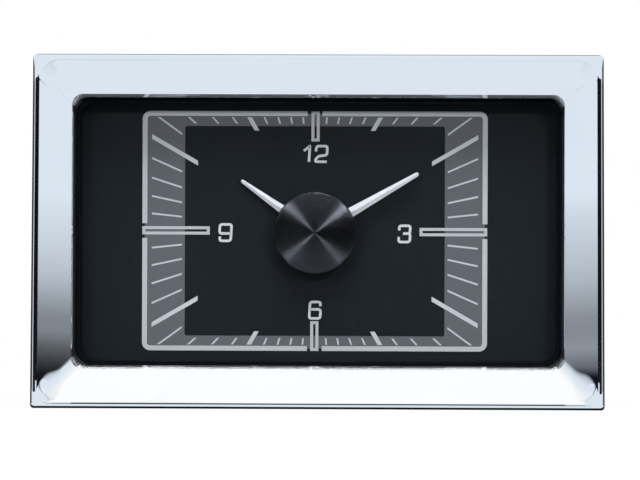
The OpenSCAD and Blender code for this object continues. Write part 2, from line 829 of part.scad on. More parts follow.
// Bearing places: position, pivot radius
bearings = [
    [[0, 0], arbor_r], [intermediate_at, pivot_r], [rotor_at, pivot_r]
];

// A movement plate with its bearing and screw holes
module movement_plate(y) {
    difference() {
        between(y, y + plate_t) plate_outline();
        for (b = bearings) rod(b[0], b[1] + bush_wall + fit_gap, y - eps, y + plate_t + eps);
        for (at = pillar_spots) rod(at, pillar_screw_r + 2 * fit_gap, y - eps, y + plate_t + eps);
        children();
    }
}

module movement_front_plate() {
    color("goldenrod") movement() movement_plate(front_plate_y)
        rod(minute_wheel_at, pivot_r + fit_gap, front_plate_y - eps, train_y + eps);
}

module movement_rear_plate() {
    gap = winding_r + bobbin_cheek + coil_window_gap;
    span = stator_reach + stator_leg_w / 2 + coil_window_gap;
    color("goldenrod") movement() movement_plate(rear_plate_y)
        translate([rotor_at[0], rear_plate_y + plate_t / 2, coil_z])
            cube([2 * span, plate_t + 2 * eps, 2 * gap], center = true);
}

module movement_pillars() {
    color("khaki") movement() for (at = pillar_spots) difference() {
        rod(at, pillar_r, train_y, rear_plate_y);
        rod(at, pillar_screw_r + 2 * fit_gap, train_y - eps, rear_plate_y + eps);
    }
}

module movement_screws() {
    color("silver") movement() for (at = pillar_spots) {
        rod(at, pillar_screw_r, front_plate_y - pillar_screw_grip + pilot_spare, movement_rear);
        rod(at, pillar_head_r, movement_rear, movement_rear + pillar_head_h);
    }
}

module pivot_bushes() {
    color("gold") movement() for (b = bearings, y = [front_plate_y, rear_plate_y]) difference() {
        rod(b[0], b[1] + bush_wall, y, y + plate_t);
        rod(b[0], b[1] + running_gap, y - eps, y + plate_t + eps);
    }
}

module minute_wheel_post() {
    color("silver") movement() {
        rod(minute_wheel_at, pivot_r, hour_wheel_y - pinion_extra, train_y);
        rod(minute_wheel_at, pivot_r + post_flange_w, front_plate_y - post_flange_h, front_plate_y);
    }
}

module stator() {
    hole_r = magnet_r + air_gap;
    color("slategray") movement() difference() {
        between(stator_y, stator_y + stator_t) {
            translate(rotor_at) circle(stator_ring_r);
            translate(rotor_at) square([2 * stator_reach + stator_leg_w, stator_leg_w], center = true);
            for (at = leg_spots) translate([at[0], (at[1] + rotor_at[1]) / 2])
                square([stator_leg_w, coil_drop + stator_leg_w], center = true);
        }
        rod(rotor_at, hole_r, stator_y - eps, stator_y + stator_t + eps);
        for (at = leg_spots) rod(at, stator_screw_r + 2 * fit_gap, stator_y - eps, stator_y + stator_t + eps);
    }
}

module stator_posts() {
    color("khaki") movement() for (at = leg_spots) difference() {
        rod(at, stator_post_r, train_y, stator_y);
        rod(at, stator_screw_r + fit_gap, train_y + stator_post_floor, stator_y + eps);
    }
}

module stator_screws() {
    color("silver") movement() for (at = leg_spots) {
        rod(at, stator_screw_r, train_y + stator_post_floor + pilot_spare, core_y + stator_t);
        rod(at, stator_head_r, core_y + stator_t, core_y + stator_t + stator_head_h);
    }
}

module coil_core() {
    color("gray") movement() difference() {
        translate([rotor_at[0], core_axis_y, coil_z])
            cube([2 * stator_reach + stator_leg_w, stator_t, core_w], center = true);
        for (at = leg_spots) rod(at, stator_screw_r + 2 * fit_gap, core_y - eps, core_y + stator_t + eps);
    }
}

// A shape drawn in Y and Z, carried along the coil's axis between two distances from its middle
module along_coil(x0, x1) {
    translate([rotor_at[0] + x0, core_axis_y, coil_z]) rotate([90, 0, 90]) linear_extrude(x1 - x0) children();
}

bobbin_end = stator_reach - bobbin_in;

module coil_bobbin() {
    color("ivory") movement() difference() {
        union() {
            along_coil(-bobbin_end, bobbin_end) circle(bobbin_r);
            for (side = [-1, 1]) along_coil(
                side > 0 ? bobbin_end - bobbin_cheek : -bobbin_end,
                side > 0 ? bobbin_end : bobbin_cheek - bobbin_end
            ) circle(winding_r + bobbin_cheek_rise);
        }
        along_coil(-bobbin_end - eps, bobbin_end + eps)
            square([stator_t + 2 * fit_gap, core_w + 2 * fit_gap], center = true);
    }
}

module coil_winding() {
    color("chocolate") movement() along_coil(bobbin_cheek - bobbin_end, bobbin_end - bobbin_cheek)
        difference() {
            circle(winding_r);
            circle(bobbin_r + fit_gap);
        }
}

// Involute tooth form
function inv(a) = tan(a) * 180 / PI - a;
function tooth_half(r, pitch_r, teeth) =
    let (base_r = pitch_r * cos(pressure_angle))
    90 / teeth - backlash / (4 * pitch_r) * 180 / PI
        + inv(pressure_angle) - (r > base_r ? inv(acos(base_r / r)) : 0);
function gear_points(teeth, size, phase) =
    let (
        pitch_r = teeth * size / 2,
        tip_r = pitch_r + addendum * size,
        root_r = pitch_r - dedendum * size,
        flank_r = max(root_r, pitch_r * cos(pressure_angle)),
        radii = [for (k = [0 : flank_steps]) flank_r + (tip_r - flank_r) * k / flank_steps],
        rising = concat(root_r < flank_r ? [root_r] : [], radii)
    )
    [for (i = [0 : teeth - 1])
        let (middle = phase + 360 * i / teeth)
        each concat(
            [for (r = rising) polar(r, middle - tooth_half(r, pitch_r, teeth))],
            [for (k = [len(rising) - 1 : -1 : 0])
                polar(rising[k], middle + tooth_half(rising[k], pitch_r, teeth))]
        )];

// A toothed wheel from depth y0 to depth y1
module gear(at, teeth, size, phase, y0, y1) {
    translate([at[0], 0, at[1]]) between(y0, y1) polygon(gear_points(teeth, size, phase));
}

// The four openings between a wheel's spokes
module crossings(at, rim_r, y0, y1) {
    translate([at[0], 0, at[1]]) between(y0 - eps, y1 + eps) difference() {
        circle(rim_r);
        circle(boss_r);
        square([2 * rim_r, spoke_w], center = true);
        square([spoke_w, 2 * rim_r], center = true);
    }
}

// One hand, drawn pointing up: a tapered blade with two facets, and a flat collar on its pipe
module hand(length, base_w, tip_w, pipe_r, y) {
    slope = (base_w - tip_w) / (length - hub_r);
    root_w = base_w + slope * hub_r;
    half_tip = tip_w / 2;
    difference() {
        union() {
            difference() {
                between(y, y + hand_t) {
                    polygon([
                        [-root_w / 2, 0], [root_w / 2, 0],
                        [half_tip, length - half_tip], [-half_tip, length - half_tip]
                    ]);
                    translate([0, length - half_tip]) circle(half_tip);
                }
                for (side = [0, 1]) mirror([side, 0, 0]) translate([0, y, 0]) rotate([0, 0, hand_fall])
                    translate([0, -hand_t, -eps]) cube([root_w, hand_t, length + 2 * eps]);
            }
            rod([0, 0], hand_collar_r, y + hand_t / 2, y + hand_t);
        }
        rod([0, 0], pipe_r + fit_gap, y - eps, y + hand_t + eps);
    }
}

module minute_hand() {
    color("silver") movement() rotate([0, minute_angle, 0])
        hand(minute_len, minute_w, minute_tip_w, cannon_r - hand_seat, minute_hand_y);
}

module hour_hand() {
    color("silver") movement() rotate([0, hour_angle, 0])
        hand(hour_len, hour_w, hour_tip_w, hour_pipe_r - hand_seat, hour_hand_y);
}

module hub_cap() {
    color([0.16, 0.16, 0.18]) movement() difference() {
        rotate([90, 0, 0]) rotate_extrude() polygon([
            [0, -minute_hand_y], [hub_r, -minute_hand_y], [hub_r, -hub_y - hub_chamfer],
            [hub_r - hub_chamfer, -hub_y], [0, -hub_y]
        ]);
        rod([0, 0], arbor_r + fit_gap, minute_hand_y - hub_bore_depth, minute_hand_y + eps);
    }
}

module centre_arbor() {
    color("lightgray") movement()
        rod([0, 0], arbor_r, minute_hand_y - hub_bore_depth, movement_rear + arbor_tail);
}

module centre_wheel() {
    rim_r = centre_module * centre_teeth / 2 - wheel_rim;
    color("goldenrod") movement() difference() {
        union() {
            gear([0, 0], centre_teeth, centre_module, centre_phase, centre_wheel_y, centre_wheel_y + wheel_t);
            rod([0, 0], wheel_hub_r, train_y + end_play, centre_wheel_y + wheel_t + wheel_hub_rise);
        }
        crossings([0, 0], rim_r, centre_wheel_y, centre_wheel_y + wheel_t);
        rod([0, 0], arbor_r + fit_gap, train_y, intermediate_y);
    }
}

module cannon_pinion() {
    leaves_y = minute_wheel_y - pinion_extra;
    color("lightgray") movement() difference() {
        union() {
            gear([0, 0], cannon_teeth, minute_module, cannon_phase,
                leaves_y, leaves_y + wheel_t + 2 * pinion_extra);
            rod([0, 0], cannon_r, minute_hand_y + hand_t, leaves_y + eps);
            rod([0, 0], cannon_r - hand_seat, minute_hand_y, minute_hand_y + hand_t + eps);
            rod([0, 0], arbor_r + cannon_wall, leaves_y, front_plate_y - end_play);
        }
        rod([0, 0], arbor_r + fit_gap, minute_hand_y - eps, front_plate_y);
    }
}

module hour_wheel() {
    color("goldenrod") movement() difference() {
        union() {
            gear([0, 0], hour_wheel_teeth, hour_module, hour_wheel_phase,
                hour_wheel_y, hour_wheel_y + wheel_t);
            rod([0, 0], hour_pipe_r, hour_hand_y + hand_t, hour_wheel_y + eps);
            rod([0, 0], hour_pipe_r - hand_seat, hour_hand_y, hour_hand_y + hand_t + eps);
        }
        rod([0, 0], cannon_r + running_gap, hour_hand_y - eps, hour_wheel_y + wheel_t + eps);
    }
}

module minute_wheel() {
    color("goldenrod") movement() difference() {
        union() {
            gear(minute_wheel_at, minute_wheel_teeth, minute_module, minute_wheel_phase,
                minute_wheel_y, minute_wheel_y + wheel_t);
            gear(minute_wheel_at, minute_pinion_teeth, hour_module, minute_pinion_phase,
                hour_wheel_y - pinion_extra, minute_wheel_y + eps);
        }
        rod(minute_wheel_at, pivot_r + running_gap, carrier_rear, minute_wheel_y + wheel_t + eps);
    }
}

module intermediate_pinion() {
    color("lightgray") movement() {
        gear(intermediate_at, pinion_teeth, centre_module, intermediate_pinion_phase,
            centre_wheel_y - pinion_extra, centre_wheel_y + wheel_t + pinion_extra);
        rod(intermediate_at, pivot_r, front_plate_y + end_play, movement_rear - end_play);
        rod(intermediate_at, arbor_body_r, centre_wheel_y, rear_plate_y - end_play);
    }
}

module intermediate_wheel() {
    rim_r = rotor_module * intermediate_teeth / 2 - wheel_rim;
    color("goldenrod") movement() difference() {
        gear(intermediate_at, intermediate_teeth, rotor_module, intermediate_phase,
            intermediate_y, intermediate_y + wheel_t);
        crossings(intermediate_at, rim_r, intermediate_y, intermediate_y + wheel_t);
        rod(intermediate_at, arbor_body_r + fit_gap, intermediate_y - eps, intermediate_y + wheel_t + eps);
    }
}

module rotor_pinion() {
    color("lightgray") movement() {
        gear(rotor_at, pinion_teeth, rotor_module, rotor_phase,
            intermediate_y - pinion_extra, intermediate_y + wheel_t + pinion_extra);
        rod(rotor_at, pivot_r, front_plate_y + end_play, movement_rear - end_play);
        rod(rotor_at, arbor_body_r, train_y + end_play, magnet_y + magnet_len);
    }
}

module rotor_magnet() {
    color("dimgray") movement() difference() {
        rod(rotor_at, magnet_r, magnet_y, magnet_y + magnet_len);
        rod(rotor_at, arbor_body_r + fit_gap, magnet_y - eps, magnet_y + magnet_len + eps);
    }
}

bezel();
mounting_studs();
lens_gasket();
lens();
lens_spacer();
dial_plate();
light_guide();
backlight_boards();
backlight_leds();
dial_carrier();
carrier_screws();
housing();
housing_screws();
rear_cover();
cover_screws();
circuit_board();
board_screws();
quartz_crystal();
driver_chip();
capacitors();
terminal_block();
terminal_blades();
set_switches();
movement_front_plate();
movement_rear_plate();
movement_pillars();
movement_screws();
pivot_bushes();
minute_wheel_post();
stator();
stator_posts();
stator_screws();
coil_core();
coil_bobbin();
coil_winding();
minute_hand();
hub_cap();
centre_arbor();
centre_wheel();
cannon_pinion();
hour_hand();
hour_wheel();
minute_wheel();
intermediate_wheel();
intermediate_pinion();
rotor_magnet();
rotor_pinion();
set_button_hour();
set_button_minute();
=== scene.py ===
"""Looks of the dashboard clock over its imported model. Sizes are in millimetres and go into the meshes in metres.

X runs to 3 o'clock, Z to 12 o'clock, and the dial faces -Y. The origin is the centre of the bezel's rear seat.
"""
import json
import bpy
import numpy as np
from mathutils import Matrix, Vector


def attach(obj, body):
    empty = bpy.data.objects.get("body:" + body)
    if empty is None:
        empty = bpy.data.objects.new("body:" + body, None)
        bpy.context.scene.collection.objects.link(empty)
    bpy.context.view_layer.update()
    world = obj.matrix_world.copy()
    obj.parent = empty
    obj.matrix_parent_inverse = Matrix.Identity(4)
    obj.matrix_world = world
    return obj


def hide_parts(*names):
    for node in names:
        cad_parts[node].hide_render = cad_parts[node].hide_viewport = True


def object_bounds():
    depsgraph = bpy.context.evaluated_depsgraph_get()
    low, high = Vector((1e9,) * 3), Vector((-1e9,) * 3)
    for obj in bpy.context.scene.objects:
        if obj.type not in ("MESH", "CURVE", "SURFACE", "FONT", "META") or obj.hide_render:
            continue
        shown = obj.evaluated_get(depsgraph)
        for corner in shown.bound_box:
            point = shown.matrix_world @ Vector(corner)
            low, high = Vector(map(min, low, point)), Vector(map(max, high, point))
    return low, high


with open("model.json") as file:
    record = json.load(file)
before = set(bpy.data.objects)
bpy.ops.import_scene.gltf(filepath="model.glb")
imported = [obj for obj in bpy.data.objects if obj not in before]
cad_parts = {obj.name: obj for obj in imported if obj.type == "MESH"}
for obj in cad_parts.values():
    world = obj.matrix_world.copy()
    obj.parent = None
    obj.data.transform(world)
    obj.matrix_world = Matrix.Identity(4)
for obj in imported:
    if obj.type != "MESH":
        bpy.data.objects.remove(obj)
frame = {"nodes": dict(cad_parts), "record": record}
cad_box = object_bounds()

MM = 0.001
# Signs of x and z in the four quarters, from the top right one round by the left
QUARTERS = ((1, 1), (-1, 1), (-1, -1), (1, -1))
# End faces of a piece that has none
NO_CAPS = np.zeros((0, 4), int)

# ---------------------------------------------------------------- meshes


def grid_quads(rows, cols, wrap_rows=False):
    """Quads of a grid of points numbered row by row. Columns always close on themselves, rows if asked."""
    r = np.arange(rows if wrap_rows else rows - 1)[:, None]
    c = np.arange(cols)[None, :]
    r2, c2 = (r + 1) % rows, (c + 1) % cols
    return np.stack([r * cols + c, r * cols + c2, r2 * cols + c2, r2 * cols + c], -1).reshape(-1, 4)


def tube(grid):
    """A grid of rings, shape (rows, cols, 3), as a closed piece: quads between the rings and a flat cap at each end."""
    rows, cols = grid.shape[:2]
    verts = grid.reshape(-1, 3)
    caps = np.stack([np.arange(cols)[::-1], (rows - 1) * cols + np.arange(cols)])
    quads = grid_quads(rows, cols)
    side = verts[quads]
    centre = verts.mean(axis=0)
    volume = np.einsum("ij,ij->", np.cross(side[:, 1] - side[:, 0], side[:, 2] - side[:, 0]), side[:, 0] - centre)
    return (verts, quads, caps) if volume > 0 else (verts, quads[:, ::-1], caps[:, ::-1])


def volume_of(verts, quads):
    """Volume inside a closed piece of quads, as the sum over its triangles."""
    a, b, c, d = (verts[quads[:, i]] for i in range(4))
    return (np.einsum("ij,ij->", np.cross(a, b), c) + np.einsum("ij,ij->", np.cross(a, c), d)) / 6


def closed_loop(rings):
    """A grid of rings, shape (rows, cols, 3), whose last ring joins the first: a piece without ends, faces outwards."""
    verts = rings.reshape(-1, 3)
    quads = grid_quads(*rings.shape[:2], wrap_rows=True)
    return verts, quads if volume_of(verts, quads) > 0 else quads[:, ::-1], NO_CAPS


def rounded_loop(half, radius, steps):
    """Points (x, z) round a rectangle with rounded corners: four quarter circles, one after another."""
    turn = np.radians(np.linspace(0, 90, steps))
    return np.concatenate([np.stack([sx * (half[0] - radius) + radius * np.cos(turn + quarter * np.pi / 2),
                                     sz * (half[1] - radius) + radius * np.sin(turn + quarter * np.pi / 2)], 1)
                           for quarter, (sx, sz) in enumerate(QUARTERS)])


def strip(first, second, front, back):
    """Rings of a flat strip between two lines of (x, z) points: first to second line in front, back again behind."""
    return np.stack([np.insert(line, 1, y, axis=1) for line, y in
                     ((first, front), (second, front), (second, back), (first, back))], 1)


def full_turn(count):
    """Equal angles once round."""
    return np.linspace(0, 2 * np.pi, count, endpoint=False)


def turned_grid(centre, radius, y, angle):
    """Points about a line along Y through a centre (x, z), from their radii, depths and angles."""
    x, z = centre[0] + radius * np.sin(angle), centre[1] + radius * np.cos(angle)
    return np.stack([x, np.broadcast_to(y, x.shape), z], -1)


def lathe(profile, centre, count):
    """A profile of (radius, y) points turned about a line along Y: a ring of equal angles for each point."""
    radius, y = profile.T[:, :, None]
    return turned_grid(centre, radius, y, full_turn(count))


def piece(name, parts, material, body, sharp=32.0, uv=None):
    """One object from closed parts (points, quads, caps), in place at the origin, riding on a body of the model. Edges
    bent by more than the given degrees stay sharp."""
    verts, faces, start = [], [], 0
    for points, quads, caps in parts:
        verts.append(points)
        faces += (quads + start).tolist() + (caps + start).tolist()
        start += len(points)
    mesh = bpy.data.meshes.new(name)
    mesh.from_pydata((np.concatenate(verts) * MM).tolist(), [], faces)
    mesh.polygons.foreach_set("use_smooth", np.ones(len(mesh.polygons), dtype=bool))
    mesh.set_sharp_from_angle(angle=np.radians(sharp))
    if uv is not None:
        layer = mesh.uv_layers.new(name="turning")
        layer.uv.foreach_set("vector", uv.astype(np.float32).ravel())
    mesh.validate()
    obj = bpy.data.objects.new(name, mesh)
    bpy.context.scene.collection.objects.link(obj)
    mesh.materials.append(material)
    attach(obj, body)
    return obj


# ---------------------------------------------------------------- materials


def node_tree(name):
    """A new material's node tree with its shader and its Object coordinates."""
    mat = bpy.data.materials.new(name)
    mat.use_nodes = True
    tree = mat.node_tree
    coords = tree.nodes.new("ShaderNodeTexCoord")
    return mat, tree, tree.nodes["Principled BSDF"], coords.outputs["Object"]


def noise(tree, coords, scale, stretch=(1, 1, 1), detail=3.0):
    """A fine noise over the coordinates, drawn out along the axes where stretch is small."""
    mapping = tree.nodes.new("ShaderNodeMapping")
    mapping.inputs["Scale"].default_value = stretch
    tree.links.new(coords, mapping.inputs["Vector"])
    tex = tree.nodes.new("ShaderNodeTexNoise")
    tex.inputs["Scale"].default_value = scale
    tex.inputs["Detail"].default_value = detail
    tree.links.new(mapping.outputs["Vector"], tex.inputs["Vector"])
    return tex.outputs["Fac"]


def spread(tree, value, low, high, start=0.3, end=0.7):
    """The value's range start to end, carried over to low to high."""
    node = tree.nodes.new("ShaderNodeMapRange")
    node.inputs["From Min"].default_value = start
    node.inputs["From Max"].default_value = end
    node.inputs["To Min"].default_value = low
    node.inputs["To Max"].default_value = high
    tree.links.new(value, node.inputs["Value"])
    return node.outputs["Result"]


def ramp(tree, value, stops):
    """A colour that goes through the stops, pairs of a place from 0 to 1 and a colour, as the value rises."""
    node = tree.nodes.new("ShaderNodeValToRGB")
    elements = node.color_ramp.elements
    while len(elements) < len(stops):
        elements.new(0.5)
    for element, (place, colour) in zip(elements, stops):
        element.position = place
        element.color = (*colour, 1.0)
    tree.links.new(value, node.inputs["Fac"])
    return node.outputs["Color"]


def two_tone(tree, value, first, second, start=0.3, end=0.7):
    """A colour that goes from first to second as the value goes from start to end."""
    return ramp(tree, value, ((start, first), (end, second)))


def eased(tree, value, start, end):
    """Goes smoothly from none to all as the value goes from start to end, upwards or downwards."""
    node = tree.nodes.new("ShaderNodeMapRange")
    node.interpolation_type = "SMOOTHSTEP"
    node.inputs["From Min"].default_value, node.inputs["From Max"].default_value = min(start, end), max(start, end)
    node.inputs["To Min"].default_value, node.inputs["To Max"].default_value = (0, 1) if start < end else (1, 0)
    tree.links.new(value, node.inputs["Value"])
    return node.outputs["Result"]


def product(tree, first, *others):
    """Shares multiplied together."""
    for other in others:
        node = tree.nodes.new("ShaderNodeMath")
        node.operation = "MULTIPLY"
        tree.links.new(first, node.inputs[0])
        tree.links.new(other, node.inputs[1])
        first = node.outputs["Value"]
    return first


def blend(tree, share, first, second):
    """A colour between a linked one and a fixed one."""
    mix = tree.nodes.new("ShaderNodeMixRGB")
    tree.links.new(share, mix.inputs["Fac"])
    tree.links.new(first, mix.inputs["Color1"])
    mix.inputs["Color2"].default_value = second
    return mix.outputs["Color"]


def relief(tree, shader, value, strength, depth):
    """A slight bump of the given depth in millimetres."""
    bump = tree.nodes.new("ShaderNodeBump")
    bump.inputs["Strength"].default_value = strength
    bump.inputs["Distance"].default_value = depth * MM
    tree.links.new(value, bump.inputs["Height"])
    tree.links.new(bump.outputs["Normal"], shader.inputs["Normal"])


def glow(tree, colour):
    """A shader that shows a colour by itself, whatever the light."""
    node = tree.nodes.new("ShaderNodeEmission")
    node.inputs["Color"].default_value = (*colour, 1)
    return node.outputs["Emission"]


def mixed(tree, share, first, second):
    """Makes the material's surface of the first shader, and of the second by the given share."""
    mix = tree.nodes.new("ShaderNodeMixShader")
    tree.links.new(share, mix.inputs["Fac"])
    tree.links.new(first, mix.inputs[1])
    tree.links.new(second, mix.inputs[2])
    tree.links.new(mix.outputs["Shader"], tree.nodes["Material Output"].inputs["Surface"])


def surface(name, colour, rough, grain, metallic=0.0, tone=0.08, bump=0.0, stretch=(1, 1, 1), **sockets):
    """A material whose colour, roughness and relief wander a little with a noise of about grain features a metre."""
    mat, tree, shader, coords = node_tree(name)
    value = noise(tree, coords, grain, stretch)
    colour = np.array(colour)
    tree.links.new(two_tone(tree, value, colour * (1 - tone), np.minimum(colour * (1 + tone), 1)),
                   shader.inputs["Base Color"])
    tree.links.new(spread(tree, value, *rough), shader.inputs["Roughness"])
    shader.inputs["Metallic"].default_value = metallic
    for socket, amount in sockets.items():
        shader.inputs[socket.replace("_", " ")].default_value = amount
    if bump:
        relief(tree, shader, value, 0.6, bump)
    return mat


def lens_material():
    """Clear polished sheet. Light for the dial passes straight through, so that the pane casts no shadow of its own."""
    mat, tree, shader, coords = node_tree("clear lens")
    value = noise(tree, coords, 60, detail=2.0)
    tree.links.new(two_tone(tree, value, (0.975, 0.98, 0.985), (0.985, 0.99, 0.995)), shader.inputs["Base Color"])
    shader.inputs["Roughness"].default_value = 0.0
    shader.inputs["IOR"].default_value = 1.49
    shader.inputs["Transmission Weight"].default_value = 1.0
    path = tree.nodes.new("ShaderNodeLightPath")
    passes = tree.nodes.new("ShaderNodeMath")
    passes.operation = "MAXIMUM"
    tree.links.new(path.outputs["Is Shadow Ray"], passes.inputs[0])
    tree.links.new(path.outputs["Is Diffuse Ray"], passes.inputs[1])
    clear = tree.nodes.new("ShaderNodeBsdfTransparent")
    clear.inputs["Color"].default_value = (0.92, 0.93, 0.94, 1)
    mixed(tree, passes.outputs["Value"], shader.outputs["BSDF"], clear.outputs["BSDF"])
    return mat


def turned_material():
    """Black anodised metal with the rings of the lathe: the highlight is drawn across the rings, the bump follows the
    radius, which the piece's own map carries."""
    mat, tree, shader, _ = node_tree("black turned metal")
    turning = tree.nodes.new("ShaderNodeUVMap")
    turning.uv_map = "turning"
    value = noise(tree, turning.outputs["UV"], 1.0, (90.0, 0.5, 1), detail=2.0)
    tree.links.new(two_tone(tree, value, (0.042, 0.045, 0.053), (0.05, 0.053, 0.062)), shader.inputs["Base Color"])
    tree.links.new(spread(tree, value, 0.24, 0.255), shader.inputs["Roughness"])
    shader.inputs["Metallic"].default_value = 1.0
    shader.inputs["Anisotropic"].default_value = 1.0
    tangent = tree.nodes.new("ShaderNodeTangent")
    tangent.direction_type = "UV_MAP"
    tangent.uv_map = "turning"
    tree.links.new(tangent.outputs["Tangent"], shader.inputs["Tangent"])
    relief(tree, shader, value, 0.012, 0.01)
    return mat


def wound_material():
    """Enamelled copper wire: bands along the coil, one for each turn, with a painted highlight on each turn's crown and
    painted shade in the groove between turns.
    """
    mat, tree, shader, coords = node_tree("wound copper")
    wave = tree.nodes.new("ShaderNodeTexWave")
    wave.inputs["Scale"].default_value = 1400.0
    wave.inputs["Distortion"].default_value = 0.6
    tree.links.new(coords, wave.inputs["Vector"])
    # The base colour paints shade between the turns and a highlight on their crowns, following the same bands as the
    # bump
    tree.links.new(two_tone(tree, wave.outputs["Fac"], (0.28, 0.09, 0.03), (0.72, 0.32, 0.14), 0.1, 0.8),
                   shader.inputs["Base Color"])
    tree.links.new(spread(tree, wave.outputs["Fac"], 0.4, 0.25), shader.inputs["Roughness"])
    shader.inputs["Metallic"].default_value = 1.0
    relief(tree, shader, wave.outputs["Fac"], 0.8, 0.1)
    return mat


def board_material():
    """Green solder mask over copper: a brick pattern's joints stand for the tracks, with a fine noise over it all."""
    mat, tree, shader, coords = node_tree("circuit board green")
    turn = tree.nodes.new("ShaderNodeMapping")
    turn.inputs["Rotation"].default_value = (np.pi / 2, 0, 0)
    tree.links.new(coords, turn.inputs["Vector"])
    brick = tree.nodes.new("ShaderNodeTexBrick")
    brick.inputs["Scale"].default_value = 220.0
    brick.inputs["Mortar Size"].default_value = 0.04
    brick.inputs["Color1"].default_value = (0.012, 0.11, 0.045, 1)
    brick.inputs["Color2"].default_value = (0.016, 0.13, 0.055, 1)
    brick.inputs["Mortar"].default_value = (0.05, 0.24, 0.1, 1)
    tree.links.new(turn.outputs["Vector"], brick.inputs["Vector"])
    tree.links.new(brick.outputs["Color"], shader.inputs["Base Color"])
    tree.links.new(spread(tree, noise(tree, coords, 900), 0.25, 0.4), shader.inputs["Roughness"])
    relief(tree, shader, brick.outputs["Fac"], 0.4, 0.03)
    return mat


materials = {
    "chrome": surface("bright chrome", (0.93, 0.94, 0.955), (0.025, 0.05), 45, 1.0, tone=0.008),
    "stud_steel": surface("stud steel", (0.56, 0.57, 0.58), (0.28, 0.42), 900, 1.0, bump=0.01),
    "gasket_rubber": surface("gasket rubber", (0.012, 0.012, 0.013), (0.7, 0.85), 2500, bump=0.03),
    "clear_lens": lens_material(),
    "spacer_black": surface("spacer black", (0.004, 0.005, 0.007), (0.75, 0.9), 2500, tone=0.2, bump=0.02,
                            Specular_IOR_Level=0.05),
    "dial_black": surface("dial black", (0.0105, 0.0138, 0.0165), (0.6, 0.75), 3000, tone=0.12,
                          Specular_IOR_Level=0.06),
    "light_guide": surface("light guide", (0.8, 0.84, 0.86), (0.12, 0.22), 300, tone=0.03,
                           Transmission_Weight=0.5),
    "board_green": board_material(),
    "diode_white": surface("diode resin", (0.9, 0.86, 0.6), (0.2, 0.35), 2000, tone=0.06),
    "carrier_grey": surface("carrier grey", (0.16, 0.165, 0.175), (0.5, 0.65), 1800, bump=0.03),
    "screw_steel": surface("zinc plated steel", (0.6, 0.61, 0.63), (0.22, 0.38), 1500, 1.0, bump=0.01),
    "housing_black": surface("housing black", (0.017, 0.0175, 0.0185), (0.42, 0.6), 2200, tone=0.18, bump=0.05),
    "cover_black": surface("cover black", (0.02, 0.0205, 0.0215), (0.45, 0.62), 2200, tone=0.18, bump=0.05),
    "crystal_can": surface("crystal can", (0.7, 0.7, 0.68), (0.2, 0.32), 800, 1.0, stretch=(1, 0.1, 1)),
    "chip_black": surface("chip resin", (0.018, 0.018, 0.018), (0.5, 0.65), 3500, bump=0.02),
    "capacitor_can": surface("capacitor can", (0.68, 0.69, 0.71), (0.22, 0.34), 900, 1.0, stretch=(1, 0.1, 1)),
    "terminal_ivory": surface("terminal ivory", (0.6, 0.55, 0.4), (0.42, 0.55), 1200, bump=0.02),
    "blade_brass": surface("blade brass", (0.74, 0.57, 0.25), (0.2, 0.34), 1100, 1.0, stretch=(1, 0.08, 1)),
    "switch_black": surface("switch black", (0.02, 0.02, 0.021), (0.45, 0.6), 2600, bump=0.02),
    "button_grey": surface("button grey", (0.09, 0.09, 0.095), (0.4, 0.55), 2400, bump=0.02),
    "plate_brass": surface("brushed brass plate", (0.72, 0.55, 0.24), (0.24, 0.4), 700, 1.0, stretch=(0.06, 1, 1),
                           bump=0.006),
    "turned_brass": surface("turned brass", (0.78, 0.6, 0.27), (0.18, 0.3), 1200, 1.0, stretch=(0.2, 1, 0.2)),
    "wheel_brass": surface("wheel brass", (0.8, 0.61, 0.25), (0.16, 0.28), 1000, 1.0),
    "arbor_steel": surface("ground steel", (0.64, 0.65, 0.67), (0.16, 0.28), 1500, 1.0, stretch=(1, 0.15, 1)),
    "stator_iron": surface("annealed iron", (0.3, 0.31, 0.33), (0.4, 0.55), 900, 1.0, bump=0.01),
    "magnet_grey": surface("sintered magnet", (0.16, 0.16, 0.17), (0.45, 0.6), 2600, 1.0, bump=0.02),
    "bobbin_ivory": surface("bobbin ivory", (0.64, 0.6, 0.48), (0.42, 0.56), 1400, bump=0.02),
    "coil_copper": wound_material(),
    "hand_silver": surface("hand silver", (0.54, 0.55, 0.58), (0.5, 0.6), 900, 0.4, tone=0.03),
    "hub_black": turned_material(),
}
ink = {
    "line": surface("line ink", (0.52, 0.53, 0.545), (0.5, 0.62), 2600, tone=0.04, Specular_IOR_Level=0.15),
    "band": surface("band ink", (0.122, 0.13, 0.143), (0.5, 0.65), 2600, tone=0.05, Specular_IOR_Level=0.1),
    "tick": surface("tick ink", (0.58, 0.59, 0.605), (0.5, 0.62), 2600, tone=0.04, Specular_IOR_Level=0.15),
    "number": surface("number ink", (0.66, 0.665, 0.68), (0.5, 0.62), 2600, tone=0.04, Specular_IOR_Level=0.15),
}

for entry in frame["record"]["subparts"]:
    node = frame["nodes"][entry["node"]]
    node.data.materials.clear()
    node.data.materials.append(materials[entry["material_slot"]])

# ---------------------------------------------------------------- bezel

WIDTH, HEIGHT, BAR = 133.8, 82.6, 9.9
OUTER_R, SOFT_R, WINDOW_R = 0.9, 4.6, 2.6
# Insets over which the corners go from tight to soft, above and below, and from soft to the window's
SOFT_TOP, SOFT_LOW, SOFT_FADE = (0.0, 1.0), (0.9, 2.2), (3.0, 7.0)
# How far each side leans in at the top, and the share of that which is lost on the way to the window
LEAN, LEAN_FADE = 0.5, 0.65
RIDGE_R, LIP_W = 1.1, 0.74
# Slopes of the face, of the lip at its crease and of the lip at the window
FACE, LIP_FROM, LIP_TO = np.radians((30, 62, 78))
# Depths of the outer wall's ends, of the face carried on to the window, and of the steps behind
FOOT_Y, WALL_Y, WINDOW_FACE_Y, LEDGE_Y, POCKET_Y = -0.6, -5.0, -6.935, -5.3, -2.5
